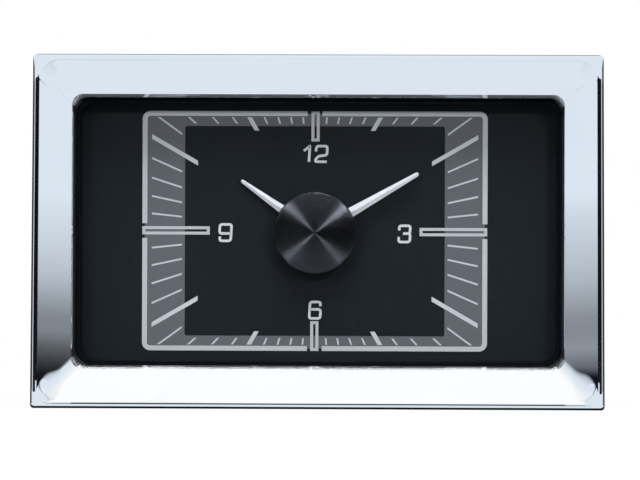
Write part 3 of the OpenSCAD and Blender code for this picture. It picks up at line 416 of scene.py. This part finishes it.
# Half sizes, corner radii and lean of the lens hollow, the flange pocket and its edge, and the raised seat and its edge
LENS_HOLLOW, FLANGE_POCKET = (59.4, 33.8, 3.8, 3.8, 0), (64.2, 39.1, 2.0, 2.0, 0)
POCKET_EDGE, SEAT_EDGE = (64.35, 39.25, 2.1, 2.1, 0), (65.9, 40.8, 1.7, 1.7, 0)
SEAT = (66.1, 41.0, 1.8, 1.8, 0)
POCKET_CHAMFER, SEAT_CHAMFER = 0.15, 0.2


def smooth(value, span):
    """None before the span, all after it, and an even S-curve between."""
    share = np.clip((value - span[0]) / (span[1] - span[0]), 0, 1)
    return share ** 2 * (3 - 2 * share)


def bar_station(inset, y):
    """A ring of the visible bar: half sizes, corner radii above and below, sideways lean and depth at an inset. The
    corners are tight at the outer wall, soft on the outer part of the face, above also on the ridge, and tight at the
    window."""
    end = (WINDOW_R - SOFT_R) * smooth(inset, SOFT_FADE)
    top, low = (OUTER_R + (SOFT_R - OUTER_R) * smooth(inset, span) + end for span in (SOFT_TOP, SOFT_LOW))
    return np.stack([WIDTH / 2 - inset, HEIGHT / 2 - inset, top, low, LEAN * (1 - LEAN_FADE * inset / BAR), y], -1)


def frame_rings(stations, arc=22, side=26):
    """Rings round a rectangle with rounded corners, one for each station. A point's place on a ring is a corner's arc
    or a straight side, closer together towards the corners. The sides lean in towards the top."""
    wide, high, top, low, lean, y = (column[:, None] for column in stations.T)
    turn = np.radians(np.linspace(0, 90, arc))
    along = (1 - np.cos(np.linspace(0, np.pi, side + 2)[1:-1])) / 2
    xs, zs = [], []
    for quarter, (sx, sz) in enumerate(QUARTERS):
        nx, nz = QUARTERS[(quarter + 1) % 4]
        ax, az = ((0, 1), (-1, 0), (0, -1), (1, 0))[quarter]
        a = turn + quarter * np.pi / 2
        r, r2 = top if sz > 0 else low, top if nz > 0 else low
        begin_x, begin_z = sx * (wide - r) + r * ax, sz * (high - r) + r * az
        end_x, end_z = nx * (wide - r2) + r2 * ax, nz * (high - r2) + r2 * az
        xs += [sx * (wide - r) + r * np.cos(a), begin_x + (end_x - begin_x) * along]
        zs += [sz * (high - r) + r * np.sin(a), begin_z + (end_z - begin_z) * along]
    x, z = np.concatenate(xs, 1), np.concatenate(zs, 1)
    x = x - np.sign(x) * lean * (z / HEIGHT + 0.5)
    return np.stack([x, np.broadcast_to(y, x.shape), z], -1)


def bezel_part():
    """The bezel's section carried round the rectangle: outer wall, round ridge, sloping face, a steeper curved lip
    from a crease, land and the steps behind for lens and flange."""
    ridge = np.linspace(0, np.pi / 2 + FACE, 25)
    lip = np.linspace(LIP_FROM, LIP_TO, 9)
    lip_r = LIP_W / (np.sin(LIP_TO) - np.sin(LIP_FROM))
    crease, face_out = BAR - LIP_W, RIDGE_R * (1 + np.sin(FACE))
    face = np.linspace(face_out, crease, 22)[1:]
    face_y = WINDOW_FACE_Y - (BAR - face) * np.tan(FACE)
    ridge_y = WINDOW_FACE_Y - (BAR - face_out) * np.tan(FACE) + RIDGE_R * np.cos(FACE)
    lip_in, lip_down = lip_r * (np.sin(lip) - np.sin(LIP_FROM)), lip_r * (np.cos(LIP_FROM) - np.cos(lip))
    inset = np.concatenate([[0, 0], RIDGE_R * (1 - np.cos(ridge)), face, crease + lip_in[1:], [BAR]])
    y = np.concatenate([[FOOT_Y, WALL_Y], ridge_y - RIDGE_R * np.sin(ridge), face_y, face_y[-1] + lip_down[1:],
                        [LEDGE_Y]])
    behind = np.array([
        (*LENS_HOLLOW, LEDGE_Y), (*LENS_HOLLOW, POCKET_Y), (*FLANGE_POCKET, POCKET_Y),
        (*FLANGE_POCKET, -POCKET_CHAMFER), (*POCKET_EDGE, 0), (*SEAT_EDGE, 0), (*SEAT, -SEAT_CHAMFER), (*SEAT, FOOT_Y)])
    return closed_loop(frame_rings(np.concatenate([bar_station(inset, y), behind])))


bezel = piece("chrome_bezel", [bezel_part()], materials["chrome"], "clock_case", sharp=15)
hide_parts("bezel")

# ---------------------------------------------------------------- dial print

DIAL_Y = 6.5
# Middles of the hands and of the print
CENTRE, PRINT = np.array([-0.8, -0.2]), np.array([-1.0, 0.2])
# How far the inks stand up from the dial, how far they reach into it, and how much higher a figure's next stroke lies
BAND_UP, LINE_UP, TICK_UP, INK_DOWN, NEXT_UP = 0.03, 0.06, 0.05, 0.02, 0.01
LINE_W, MINUTE_W, HOUR_W = 1.16, 0.4, 0.97
FRAME_R, FRAME_GAP = 1.35, 1.75
# Half sizes of the square track's line and field, and of the rectangles where its ticks end
FRAME_HALF, INNER_HALF = np.array([40.9, 28.41]), np.array([30.8, 24.85])
TICK_OUT, MINUTE_IN, HOUR_IN = np.array([38.65, 26.95]), np.array([31.5, 25.4]), np.array([27.75, 23.8])
# Each hollow bar's middle, length and width, and whether it stands upright
HOUR_BARS = [((0.12, 24.8), 7.1, 1.94, True), ((-0.02, -24.88), 7.05, 1.94, True),
             ((-32.9, 0.06), 16.0, 1.96, False), ((32.85, -0.14), 16.0, 1.96, False)]
# Each figure's sign, middle, width and height
FIGURES = [("1", (-2.0, 18.3), 1.35, 3.7), ("2", (1.55, 18.3), 2.7, 3.7), ("6", (0.15, -18.75), 2.6, 3.9),
           ("9", (-21.2, -0.43), 2.76, 3.9), ("3", (21.3, -0.59), 2.66, 3.85)]


def ribbon(path, width, up, closed=False):
    """A flat line of ink: a low rectangle carried along a path of (x, z) points, mitred at the bends."""
    path = np.asarray(path, float)
    before = np.roll(path, 1, 0) if closed else np.vstack([2 * path[0] - path[1], path[:-1]])
    after = np.roll(path, -1, 0) if closed else np.vstack([path[1:], 2 * path[-1] - path[-2]])
    into, out = path - before, after - path
    into /= np.linalg.norm(into, axis=1)[:, None]
    out /= np.linalg.norm(out, axis=1)[:, None]
    mean = (into + out) / np.linalg.norm(into + out, axis=1)[:, None]
    side = np.stack([-mean[:, 1], mean[:, 0]], 1)
    side *= (width / 2 / np.einsum("ij,ij->i", side, np.stack([-out[:, 1], out[:, 0]], 1)))[:, None]
    rings = strip(path + side + PRINT, path - side + PRINT, DIAL_Y - up, DIAL_Y + INK_DOWN)
    return closed_loop(rings) if closed else tube(rings)


def prisms(corners, up):
    """Flat patches of ink from four (x, z) corners each: the corners in front, the same corners just behind the dial's
    face, and the sides between. All patches are one grid of whole arrays."""
    corners = corners + PRINT
    count = len(corners)
    low = np.insert(corners, 1, DIAL_Y + INK_DOWN, axis=2)
    high = np.insert(corners, 1, DIAL_Y - up, axis=2)
    verts = np.concatenate([low, high], 1).reshape(-1, 3)
    box = np.array([(0, 1, 2, 3), (7, 6, 5, 4), (0, 4, 5, 1), (1, 5, 6, 2), (2, 6, 7, 3), (3, 7, 4, 0)])
    quads = (box[None] + 8 * np.arange(count)[:, None, None]).reshape(-1, 4)
    flat = corners - corners[:, :1]
    turn = np.cross(flat[:, 1], flat[:, 2])
    flip = np.repeat(turn < 0, 6)
    quads[flip] = quads[flip][:, ::-1]
    return verts, quads, NO_CAPS


def rays(angles, inner, outer, width):
    """Radial marks at clock angles, of a constant width, that run from one rectangle's edge to another's, each end cut
    along the rectangle's side."""
    way = np.stack([np.sin(angles), np.cos(angles)], 1)
    across = np.stack([way[:, 1], -way[:, 0]], 1) * width / 2
    ends = []
    for half in (inner, outer):
        axis = np.argmin(half / np.maximum(np.abs(way), 1e-9), axis=1)
        row = np.arange(len(way))
        limit = half[axis] * np.sign(way[row, axis])
        for hand in (1, -1):
            start = hand * across
            reach = (limit - start[row, axis]) / way[row, axis]
            ends.append(start + way * reach[:, None])
    return np.stack([ends[0], ends[1], ends[3], ends[2]], 1)


def smooth_path(points, radius, steps=7):
    """A path with each bend rounded: a curve from a point before the bend to a point after it, at most the radius away
    and less than half way along, with the bend as its control point."""
    points = np.asarray(points, float)
    t = np.linspace(0, 1, steps)[:, None]
    rows = [points[:1]]
    for before, bend, after in zip(points[:-2], points[1:-1], points[2:]):
        start = bend + (before - bend) * min(0.47, radius / np.linalg.norm(before - bend))
        end = bend + (after - bend) * min(0.47, radius / np.linalg.norm(after - bend))
        rows.append((1 - t) ** 2 * start + 2 * t * (1 - t) * bend + t ** 2 * end)
    rows.append(points[-1:])
    return np.concatenate(rows)


def frame_line():
    """The square track's line: four open ribbons, one for each quarter, that stop short of the hour bars."""
    half = FRAME_HALF - LINE_W / 2
    bend = np.radians(np.linspace(90, 0, 12))
    arc = half - FRAME_R + FRAME_R * np.stack([np.cos(bend), np.sin(bend)], 1)
    quarter = np.vstack([(FRAME_GAP, half[1]), arc, (half[0], FRAME_GAP)])
    return [ribbon(quarter * sign, LINE_W, LINE_UP) for sign in QUARTERS]


def band(inner_r=0.5, steps=9):
    """The grey field: a flat strip between a loop under the line's middle and the inner rectangle, a loop of the same
    number of points."""
    outer = rounded_loop(FRAME_HALF - LINE_W / 2, FRAME_R, steps) + PRINT
    inner = rounded_loop(INNER_HALF, inner_r, steps) + PRINT
    return closed_loop(strip(outer, inner, DIAL_Y - BAND_UP, DIAL_Y + INK_DOWN))


def hour_bar(place, length, across, standing, line=0.69):
    """A hollow bar: a closed ribbon round a narrow slot."""
    half = np.array([across, length] if standing else [length, across]) / 2 - line / 2
    ring = np.array([(-1, -1), (1, -1), (1, 1), (-1, 1)]) * half + np.asarray(place, float)
    return ribbon(ring, line, LINE_UP, closed=True)


SLANT = np.tan(np.radians(3.4))
STROKE, BEND_R, PEAK_R = 0.6, 0.62, 0.05
SIX = [(0.95, 0.74), (0.94, 1.0), (0.0, 1.0), (0.0, 0.0), (1.0, 0.0), (1.0, 0.55), (0.03, 0.55)]
STROKES = {
    "1": [[(0.0, 0.69), (1.0, 1.0), (1.0, 0.0)]],
    "2": [[(0.0, 0.66), (0.02, 1.0), (0.98, 1.0), (0.98, 0.42), (0.25, 0.36), (0.0, 0.14), (0.0, 0.0), (1.0, 0.0)]],
    "3": [[(0.0, 0.71), (0.0, 1.0), (0.97, 1.0), (0.97, 0.52), (0.36, 0.52)],
          [(0.36, 0.52), (1.0, 0.52), (1.0, 0.0), (0.0, 0.0), (0.0, 0.31)]],
    "6": [SIX],
    "9": [[(1 - x, 1 - z) for x, z in SIX]],
}


def number(sign, place, wide, high):
    """A figure's strokes as ribbons: middle lines in a unit square with rounded bends, scaled and slanted. A second
    stroke lies a little higher, so that no two faces lie in one plane."""
    parts = []
    for layer, stroke in enumerate(STROKES[sign]):
        path = (np.array(stroke) - 0.5) * (wide, high)
        path = smooth_path(path, PEAK_R if sign == "1" else BEND_R)
        path[:, 0] += path[:, 1] * SLANT
        parts.append(ribbon(path + np.asarray(place, float), STROKE, LINE_UP + NEXT_UP * layer))
    return parts


def dial_part(half=(57.1, 31.5), radius=4.8, hole=4.0, thick=0.8):
    """The dial plate: a loop round a rounded rectangle and a loop round the hole, whose points lie in the same
    directions from the hole's middle, in front and behind, with the plate's surface between the four loops."""
    corner = rounded_loop(half, radius, 12)
    step = np.linspace(0, 1, 9)[:-1, None, None]
    outer = (corner + (np.roll(corner, -1, 0) - corner) * step).transpose(1, 0, 2).reshape(-1, 2)
    way = outer - CENTRE
    inner = CENTRE + hole * way / np.linalg.norm(way, axis=1)[:, None]
    return closed_loop(strip(outer, inner, DIAL_Y, DIAL_Y + thick))


dial = piece("dial_plate_face", [dial_part()], materials["dial_black"], "clock_case")
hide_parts("dial_plate")

minutes = np.arange(60)
small = np.radians(minutes[minutes % 5 != 0] * 6.0)
large = np.radians(minutes[(minutes % 5 == 0) & (minutes % 15 != 0)] * 6.0)
print_parts = {
    "dial_band": ([band()], "band"),
    "dial_frame_line": (frame_line(), "line"),
    "dial_minute_ticks": ([prisms(rays(small, MINUTE_IN, TICK_OUT, MINUTE_W), TICK_UP)], "tick"),
    "dial_hour_ticks": ([prisms(rays(large, HOUR_IN, TICK_OUT, HOUR_W), LINE_UP)], "tick"),
    "dial_hour_bars": ([hour_bar(*bar) for bar in HOUR_BARS], "line"),
    "dial_numbers": ([stroke for figure in FIGURES for stroke in number(*figure)], "number"),
}
for name, (parts, kind) in print_parts.items():
    piece(name, parts, ink[kind], "clock_case")

# ---------------------------------------------------------------- turned hub cap

HUB_FACE_R, HUB_RIM_R, HUB_R = 9.15, 0.55, 9.7
HUB_FRONT_Y, HUB_CHAMFER_Y, HUB_BACK_Y, HUB_BACK_R = -0.5, 2.4, 2.65, 9.5
# Slope of the dome at the rim, and the radius at which its map ends
HUB_SLOPE, HUB_MAP_R = 0.06, 10
# Radius of the small hole that a cap closes on a turned piece's axis
AXIS_R = 0.05


def hub_piece(count=144):
    """The cap's front is a very flat dome, whose depth grows with the square of the radius, with a rounded rim. Its map
    runs out with the radius and round with the angle, so that the shader can follow the turning rings."""
    rim = np.radians(np.linspace(0, 90, 9))
    rim_y = HUB_FRONT_Y + HUB_SLOPE * HUB_FACE_R / 2 + HUB_RIM_R
    face = np.array([AXIS_R, 0.6, 1.4, 2.5, 3.7, 5.0, 6.3, 7.5, 8.6])
    profile = np.concatenate([
        np.stack([face, HUB_FRONT_Y + HUB_SLOPE * face ** 2 / (2 * HUB_FACE_R)], 1),
        np.stack([HUB_FACE_R + HUB_RIM_R * np.sin(rim), rim_y - HUB_RIM_R * np.cos(rim)], 1),
        [(HUB_R, HUB_CHAMFER_Y), (HUB_BACK_R, HUB_BACK_Y), (AXIS_R, HUB_BACK_Y)]])
    verts, quads, caps = tube(lathe(profile, CENTRE, count))
    col, row = quads % count, quads // count
    lap = (col == 0) & (col.max(axis=1, keepdims=True) == count - 1)
    reach = profile[:, 0] / HUB_MAP_R
    corner = np.stack([reach[row], (col + lap * count) / count], -1).reshape(-1, 2)
    return (verts, quads, caps), np.concatenate([corner, np.zeros((caps.size, 2))])


hub_part, hub_map = hub_piece()
hub = piece("turned_hub_cap", [hub_part], materials["hub_black"], "minute_hand_arbor", uv=hub_map)
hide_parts("hub_cap")

# ---------------------------------------------------------------- pieces seen from behind

STUD_X, STUD_Z, STUD_R, STUD_PLAIN_R = 60.9, 35.8, 2.0, 1.72
STUD_START_Y, STUD_PLAIN_Y, THREAD_Y, STUD_END_Y, STUD_TIP = -7.4, -2.4, -2.3, 16.0, 0.5
# Thread: pitch, depth, and the shares of half a pitch that lie on the crest and on the flank
PITCH, THREAD_DEPTH, CREST, FLANK = 0.7, 0.36, 0.12, 0.76
SCREW_X, SCREW_Z, SCREW_R, SHANK_R = 53.9, 28.3, 2.4, 1.2
SCREW_SEAT_Y, SCREW_RISE, SCREW_END_Y = 38.2, 1.2, 34.0
# Shares of the head's rise: how far the dome falls towards the rim, and how high the rim stands
DOME_FALL, RIM_UP = 0.55, 0.3
# Cross recess, in shares of the head's radius: half sizes of a slot, how far its walls and ends slope, and its depth
SLOT_HALF, SLOT_LENGTH, SLOT_WALL, SLOT_END, SLOT_DEPTH = 0.17, 0.56, 0.06, 0.1, 0.42
# The recess is deepest in the middle: shares of its depth there, before it is cut to one, and lost out to the rim
SLOT_MIDDLE, SLOT_FALL = 1.15, 0.9
BUTTON_Z, BUTTON_R, BUTTON_RIM, BUTTON_END_Y = 10.0, 2.4, 0.4, 40.5
BUTTON_FLANGE_R, FLANGE_FROM_Y, FLANGE_TO_Y = 3.3, 35.3, 36.1
DISH_R, DISH_DEPTH = 1.9, 0.3
BLADE_PITCH, BLADE_Z, BLADE_HALF_W, BLADE_HALF_T = 12.0, -14.0, 3.15, 0.4
BLADE_RINGS_Y, BLADE_END_Y, BLADE_TIP = (30.2, 40.0, 47.0), 48.7, 1.3
TIP_NARROWER, TIP_THINNER = 1.0, 0.22


def stud_part(centre, cols=28):
    """A threaded stud: a rod whose radius falls from the crest to the root and back once in each pitch, and the place
    in the pitch goes round with the angle. The tip is chamfered, and the buried end is plain."""
    y = np.concatenate([[STUD_START_Y, STUD_PLAIN_Y], np.linspace(THREAD_Y, STUD_END_Y, 232)])[:, None]
    angle = full_turn(cols)
    place = np.abs(((y / PITCH - angle / (2 * np.pi)) % 1.0) * 2 - 1)
    thread = STUD_R - THREAD_DEPTH * np.clip((place - CREST) / FLANK, 0, 1)
    limit = np.where(y < THREAD_Y, STUD_PLAIN_R, STUD_R - np.clip(y - STUD_END_Y + STUD_TIP, 0, 1))
    return tube(turned_grid(centre, np.minimum(thread, limit), y, angle))


def cross_slot(across, along):
    """All inside a slot of the cross recess and none outside, with sloping walls and ends."""
    return (np.clip((SLOT_HALF - np.abs(across)) / SLOT_WALL, 0, 1)
            * np.clip((SLOT_LENGTH - np.abs(along)) / SLOT_END, 0, 1))


def screw_part(centre, cols=56):
    """A screw with a cross recess, head towards +Y. From the middle out: the dome, lowered where a point lies in one of
    the two crossed slots, then the rim, the underside and the shank."""
    angle = full_turn(cols)
    out = np.concatenate([[0.03], np.linspace(0.1, 0.97, 22)])[:, None]
    u, v = out * np.sin(angle), out * np.cos(angle)
    recess = np.maximum(cross_slot(u, v), cross_slot(v, u)) * np.clip(SLOT_MIDDLE - SLOT_FALL * out, 0, 1)
    dome = SCREW_SEAT_Y + SCREW_RISE * (1 - DOME_FALL * out ** 2) - recess * SLOT_DEPTH * SCREW_R
    rest = np.array([(SCREW_R, SCREW_SEAT_Y + RIM_UP * SCREW_RISE), (SCREW_R, SCREW_SEAT_Y), (SHANK_R, SCREW_SEAT_Y),
                     (SHANK_R, SCREW_END_Y)])
    rest = np.broadcast_to(rest[:, None, :], (len(rest), cols, 2))
    grid = np.concatenate([np.stack([np.broadcast_to(out * SCREW_R, dome.shape), dome], -1), rest])
    return tube(turned_grid(centre, grid[..., 0], grid[..., 1], angle))


def button_part(centre):
    """A push button turned about its axis: flange, stem, rounded rim and a shallow dish in the end."""
    rim = np.radians(np.linspace(90, 0, 7))
    dish = np.linspace(DISH_R, AXIS_R, 9)
    profile = np.concatenate([
        [(AXIS_R, FLANGE_FROM_Y), (BUTTON_FLANGE_R, FLANGE_FROM_Y), (BUTTON_FLANGE_R, FLANGE_TO_Y),
         (BUTTON_R, FLANGE_TO_Y)],
        np.stack([BUTTON_R - BUTTON_RIM * (1 - np.sin(rim)), BUTTON_END_Y - BUTTON_RIM * (1 - np.cos(rim))], 1),
        np.stack([dish, BUTTON_END_Y - DISH_DEPTH * (1 - (dish / DISH_R) ** 2)], 1)])
    return tube(lathe(profile, centre, 48))


def blade_part(x):
    """A terminal blade: a rectangle with softened corners carried along Y, narrowed and thinned towards the tip."""
    tip_y = BLADE_END_Y - BLADE_TIP
    y = np.concatenate([BLADE_RINGS_Y, np.linspace(tip_y, BLADE_END_Y, 6)])[:, None]
    tip = np.clip((y - tip_y) / BLADE_TIP, 0, 1)
    across = np.array([1, 0.975, -0.975, -1, -1, -0.975, 0.975, 1])
    up = np.array([0.75, 1, 1, 0.75, -0.75, -1, -1, -0.75])
    wide, thick = (BLADE_HALF_W - TIP_NARROWER * tip) * across, (BLADE_HALF_T - TIP_THINNER * tip) * up
    return tube(np.stack([x + wide, np.broadcast_to(y, wide.shape), BLADE_Z + thick], -1))


studs = piece("threaded_studs", [stud_part((sx * STUD_X, sz * STUD_Z)) for sx, sz in QUARTERS],
              materials["stud_steel"], "clock_case", sharp=50)
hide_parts("mounting_studs")
cover_screws = piece("cover_screws_cross", [screw_part((sx * SCREW_X, sz * SCREW_Z)) for sx, sz in QUARTERS],
                     materials["screw_steel"], "clock_case", sharp=40)
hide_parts("cover_screws")
buttons = [(18.0, "hour_button", "set_button_hour"), (30.0, "minute_button", "set_button_minute")]
for x, body, node in buttons:
    knob = piece(node + "_dished", [button_part((x, BUTTON_Z))], materials["button_grey"], body)
    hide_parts(node)
blades = piece("terminal_blades_chamfered", [blade_part(step * BLADE_PITCH) for step in (-1, 0, 1)],
               materials["blade_brass"], "clock_case")
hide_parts("terminal_blades")

# ---------------------------------------------------------------- stage


def stage_plane(name, corners, material):
    """A flat stage piece from four corners, in metres."""
    mesh = bpy.data.meshes.new(name)
    mesh.from_pydata(corners, [], [(0, 1, 2, 3)])
    obj = bpy.data.objects.new(name, mesh)
    bpy.context.scene.collection.objects.link(obj)
    mesh.materials.append(material)
    return obj


def floor_material():
    """Pale matt paper. For the camera it is lifted close to white, and the object's shadow stays as a soft grey. Away
    from the object it goes over to the white of the background."""
    mat, tree, shader, coords = node_tree("pale paper")
    value = noise(tree, coords, 400)
    tree.links.new(two_tone(tree, value, (0.75, 0.815, 0.88), (0.77, 0.835, 0.9)), shader.inputs["Base Color"])
    shader.inputs["Roughness"].default_value = 0.9
    reach = tree.nodes.new("ShaderNodeVectorMath")
    reach.operation = "LENGTH"
    tree.links.new(coords, reach.inputs[0])
    lifted = spread(tree, reach.outputs["Value"], 0.955, 1.0, 0.15, 0.5)
    path = tree.nodes.new("ShaderNodeLightPath")
    share = product(tree, path.outputs["Is Camera Ray"], lifted)
    mixed(tree, share, shader.outputs["BSDF"], glow(tree, (1, 1, 1)))
    return mat


def card_material():
    """A studio card as pale as the room's walls."""
    mat, tree, _, _ = node_tree("pale card")
    tree.links.new(glow(tree, (0.757, 0.832, 0.913)), tree.nodes["Material Output"].inputs["Surface"])
    return mat


def flag_material(name, stops):
    """A dark studio flag whose clearness follows the height: pairs of height in metres and share let through."""
    mat, tree, _, coords = node_tree(name)
    split = tree.nodes.new("ShaderNodeSeparateXYZ")
    tree.links.new(coords, split.inputs["Vector"])
    low, high = stops[0][0], stops[-1][0]
    place = spread(tree, split.outputs["Z"], 0.0, 1.0, low, high)
    share = ramp(tree, place, [((height - low) / (high - low), (through,) * 3) for height, through in stops])
    clear = tree.nodes.new("ShaderNodeBsdfTransparent")
    mixed(tree, share, glow(tree, (0.007, 0.008, 0.011)), clear.outputs["BSDF"])
    return mat


def flag(name, corners, material):
    """A flat flag from four corners, in metres. It shows in reflections and through glass alone."""
    obj = stage_plane(name, corners, material)
    obj.visible_camera = obj.visible_diffuse = obj.visible_shadow = False


def upright(middle, half, low, high):
    """Corners of an upright sheet along X from its middle on the ground, half its length, and its heights."""
    x, y = middle
    return [(x - half, y, low), (x + half, y, low), (x + half, y, high), (x - half, y, high)]


def lying(half, near, far, height):
    """Corners of a level sheet from half its length along X, its depths and its height."""
    return [(-half, near, height), (half, near, height), (half, far, height), (-half, far, height)]


def sloping(side, near=0.1, far=0.342, half=0.03, top=0.036, fall=0.2655):
    """Corners of a flag that runs away from one side bar, as its face mirrors the view, and falls from the top corner's
    height: it darkens the bar's lower half, and the top corner sees it edge on."""
    aside, ahead = 0.83 * side, 0.558
    way, across = np.array([aside, -ahead]), np.array([ahead, aside]) * half
    start = np.array([-0.062 * side, -0.008])
    ends = [(start + way * t, top - fall * t) for t in (near, far)]
    return [(*(ends[i][0] + k * across), ends[i][1]) for i, k in ((0, -1), (0, 1), (1, 1), (1, -1))]


FLOOR_Z, FLOOR_HALF = cad_box[0][2], 3
CARD_Y = -0.02
# Height in metres and share let through, up the flag of each side bar
GRADES = {
    "left": [(-0.055, 0.02), (-0.0488, 0.08), (-0.0425, 0.17), (-0.0358, 0.37), (-0.0307, 0.32), (-0.0259, 0.34),
             (-0.0196, 0.47), (-0.0137, 0.6), (-0.005, 0.73), (0.004, 0.86), (0.0094, 1.0)],
    "right": [(-0.055, 0.0), (-0.0425, 0.03), (-0.0358, 0.14), (-0.0307, 0.29), (-0.0259, 0.3), (-0.0196, 0.46),
              (-0.0137, 0.64), (-0.005, 0.8), (0.004, 0.92), (0.0094, 1.0)],
}

floor = stage_plane("floor", lying(FLOOR_HALF, -FLOOR_HALF, FLOOR_HALF, FLOOR_Z), floor_material())
floor.visible_glossy = floor.visible_transmission = floor.visible_diffuse = False
plain = flag_material("plain flag", [(-1.0, 0.0), (1.0, 0.0)])
low = flag_material("low flag", [(-0.05, 0.0), (-0.0345, 0.0), (-0.0325, 1.0), (0.0, 1.0)])
card = card_material()
for side, name in ((-1, "left"), (1, "right")):
    flag(f"graded_flag_{name}", sloping(side), flag_material(f"graded flag {name}", GRADES[name]))
    flag(f"low_card_{name}", upright((0.0825 * side, CARD_Y), 0.0185, FLOOR_Z, -0.0378), card)
    flag(f"inner_card_{name}", upright((0.061 * side, CARD_Y), 0.003, -0.0388, -0.0352), card)
flag("top_card", upright((0.0, CARD_Y), 0.1, 0.0362, 0.06), card)
flag("low_flag", upright((0.0, -0.026), 0.063, FLOOR_Z, -0.0325), low)
flag("hub_flag", upright((-0.001, -0.013), 0.034, -0.007, 0.007), plain)
flag("top_visor", lying(0.066, -0.01, -0.005, 0.043), plain)
flag("under_flag", lying(0.07, -0.01203, 0.06, FLOOR_Z + 0.00005), plain)


def studio_world():
    """Plain white for the camera, and an even pale room for light. Reflections see the same room with a bright
    panel overhead in front, and dark screens at eye level in front, at each side and behind."""
    world = bpy.data.worlds.new("studio")
    bpy.context.scene.world = world
    world.use_nodes = True
    world.cycles.sampling_method = "NONE"
    tree = world.node_tree
    coords = tree.nodes.new("ShaderNodeTexCoord")
    split = tree.nodes.new("ShaderNodeSeparateXYZ")
    tree.links.new(coords.outputs["Generated"], split.inputs["Vector"])
    depth, height = split.outputs["Y"], split.outputs["Z"]
    across = tree.nodes.new("ShaderNodeMath")
    across.operation = "ABSOLUTE"
    tree.links.new(split.outputs["X"], across.inputs[0])
    wide = across.outputs["Value"]
    walls = two_tone(tree, spread(tree, height, 0.0, 1.0, -0.3, 0.05),
                     (0.762, 0.835, 0.905), (0.755, 0.83, 0.915), 0, 1)
    overhead = product(tree, eased(tree, depth, -0.9, -0.82), eased(tree, depth, -0.26, -0.36),
                       eased(tree, height, 0.05, 0.25), eased(tree, wide, 0.6, 0.2))
    strip_ahead = product(tree, eased(tree, depth, -0.58, -0.66), eased(tree, height, -0.06, -0.045),
                          eased(tree, height, 0.062, 0.052))
    eye_level = product(tree, eased(tree, height, 0.2, 0.1), eased(tree, height, -0.2, -0.1))
    behind = product(tree, eased(tree, depth, -0.1, 0.06), eye_level)
    sides = product(tree, eye_level, eased(tree, wide, 0.8, 0.9), eased(tree, depth, -0.42, -0.32),
                    eased(tree, depth, -0.02, -0.06))
    seen = blend(tree, overhead, walls, (1.04, 1.05, 1.05, 1))
    seen = blend(tree, strip_ahead, seen, (0.005, 0.006, 0.008, 1))
    for share in (behind, sides):
        seen = blend(tree, share, seen, (0.02, 0.022, 0.026, 1))
    path = tree.nodes.new("ShaderNodeLightPath")
    seen = blend(tree, path.outputs["Is Diffuse Ray"], seen, (0.4, 0.42, 0.45, 1))
    seen = blend(tree, path.outputs["Is Camera Ray"], seen, (1, 1, 1, 1))
    tree.links.new(seen, tree.nodes["Background"].inputs["Color"])


def lamp(name, place, power, size):
    """A square area lamp that faces the clock: tilted by its height, then turned by its place on the ground."""
    light = bpy.data.lights.new(name, "AREA")
    light.energy, light.size = power, size
    obj = bpy.data.objects.new(name, light)
    bpy.context.scene.collection.objects.link(obj)
    x, y, z = place
    obj.location = place
    obj.rotation_euler = (np.arctan2(np.hypot(x, y), z), 0, np.arctan2(x, -y))
    return obj


studio_world()
lamp("lamp_overhead", (0.0, -0.33, 0.55), 4.5, 0.4).visible_glossy = False
# The other lamps leave the bezel out, so that its chrome shows the room alone
all_but_bezel = bpy.data.collections.new("all_but_bezel")
all_but_bezel.objects.link(bezel)
all_but_bezel.collection_objects[0].light_linking.link_state = "EXCLUDE"
for name, place, power, size in (("lamp_left", (-0.21, -0.64, 0.195), 0.9, 0.05),
                                 ("lamp_right", (0.21, -0.64, 0.195), 1.4, 0.05),
                                 ("lamp_behind", (0.2, 0.6, 0.55), 2.6, 0.35)):
    lamp(name, place, power, size).light_linking.receiver_collection = all_but_bezel

# Camera: the depth of the bezel's front, the distance from it, the angle round the clock and a slight roll
FRONT, AWAY, ROUND, ROLL = -0.0118, 0.9, np.radians(1.2), np.radians(-0.2)
camera_data = bpy.data.cameras.new("camera")
camera_data.lens, camera_data.sensor_width = 217.75, 36.0
camera_data.shift_x, camera_data.shift_y = 0.0041, -0.0126
camera = bpy.data.objects.new("camera", camera_data)
bpy.context.scene.collection.objects.link(camera)
camera.location = (AWAY * np.sin(ROUND), FRONT - AWAY * np.cos(ROUND), 0.0)
camera.rotation_euler = (np.pi / 2, ROLL, ROUND)
bpy.context.scene.camera = camera
bpy.context.scene.view_settings.view_transform = "Standard"
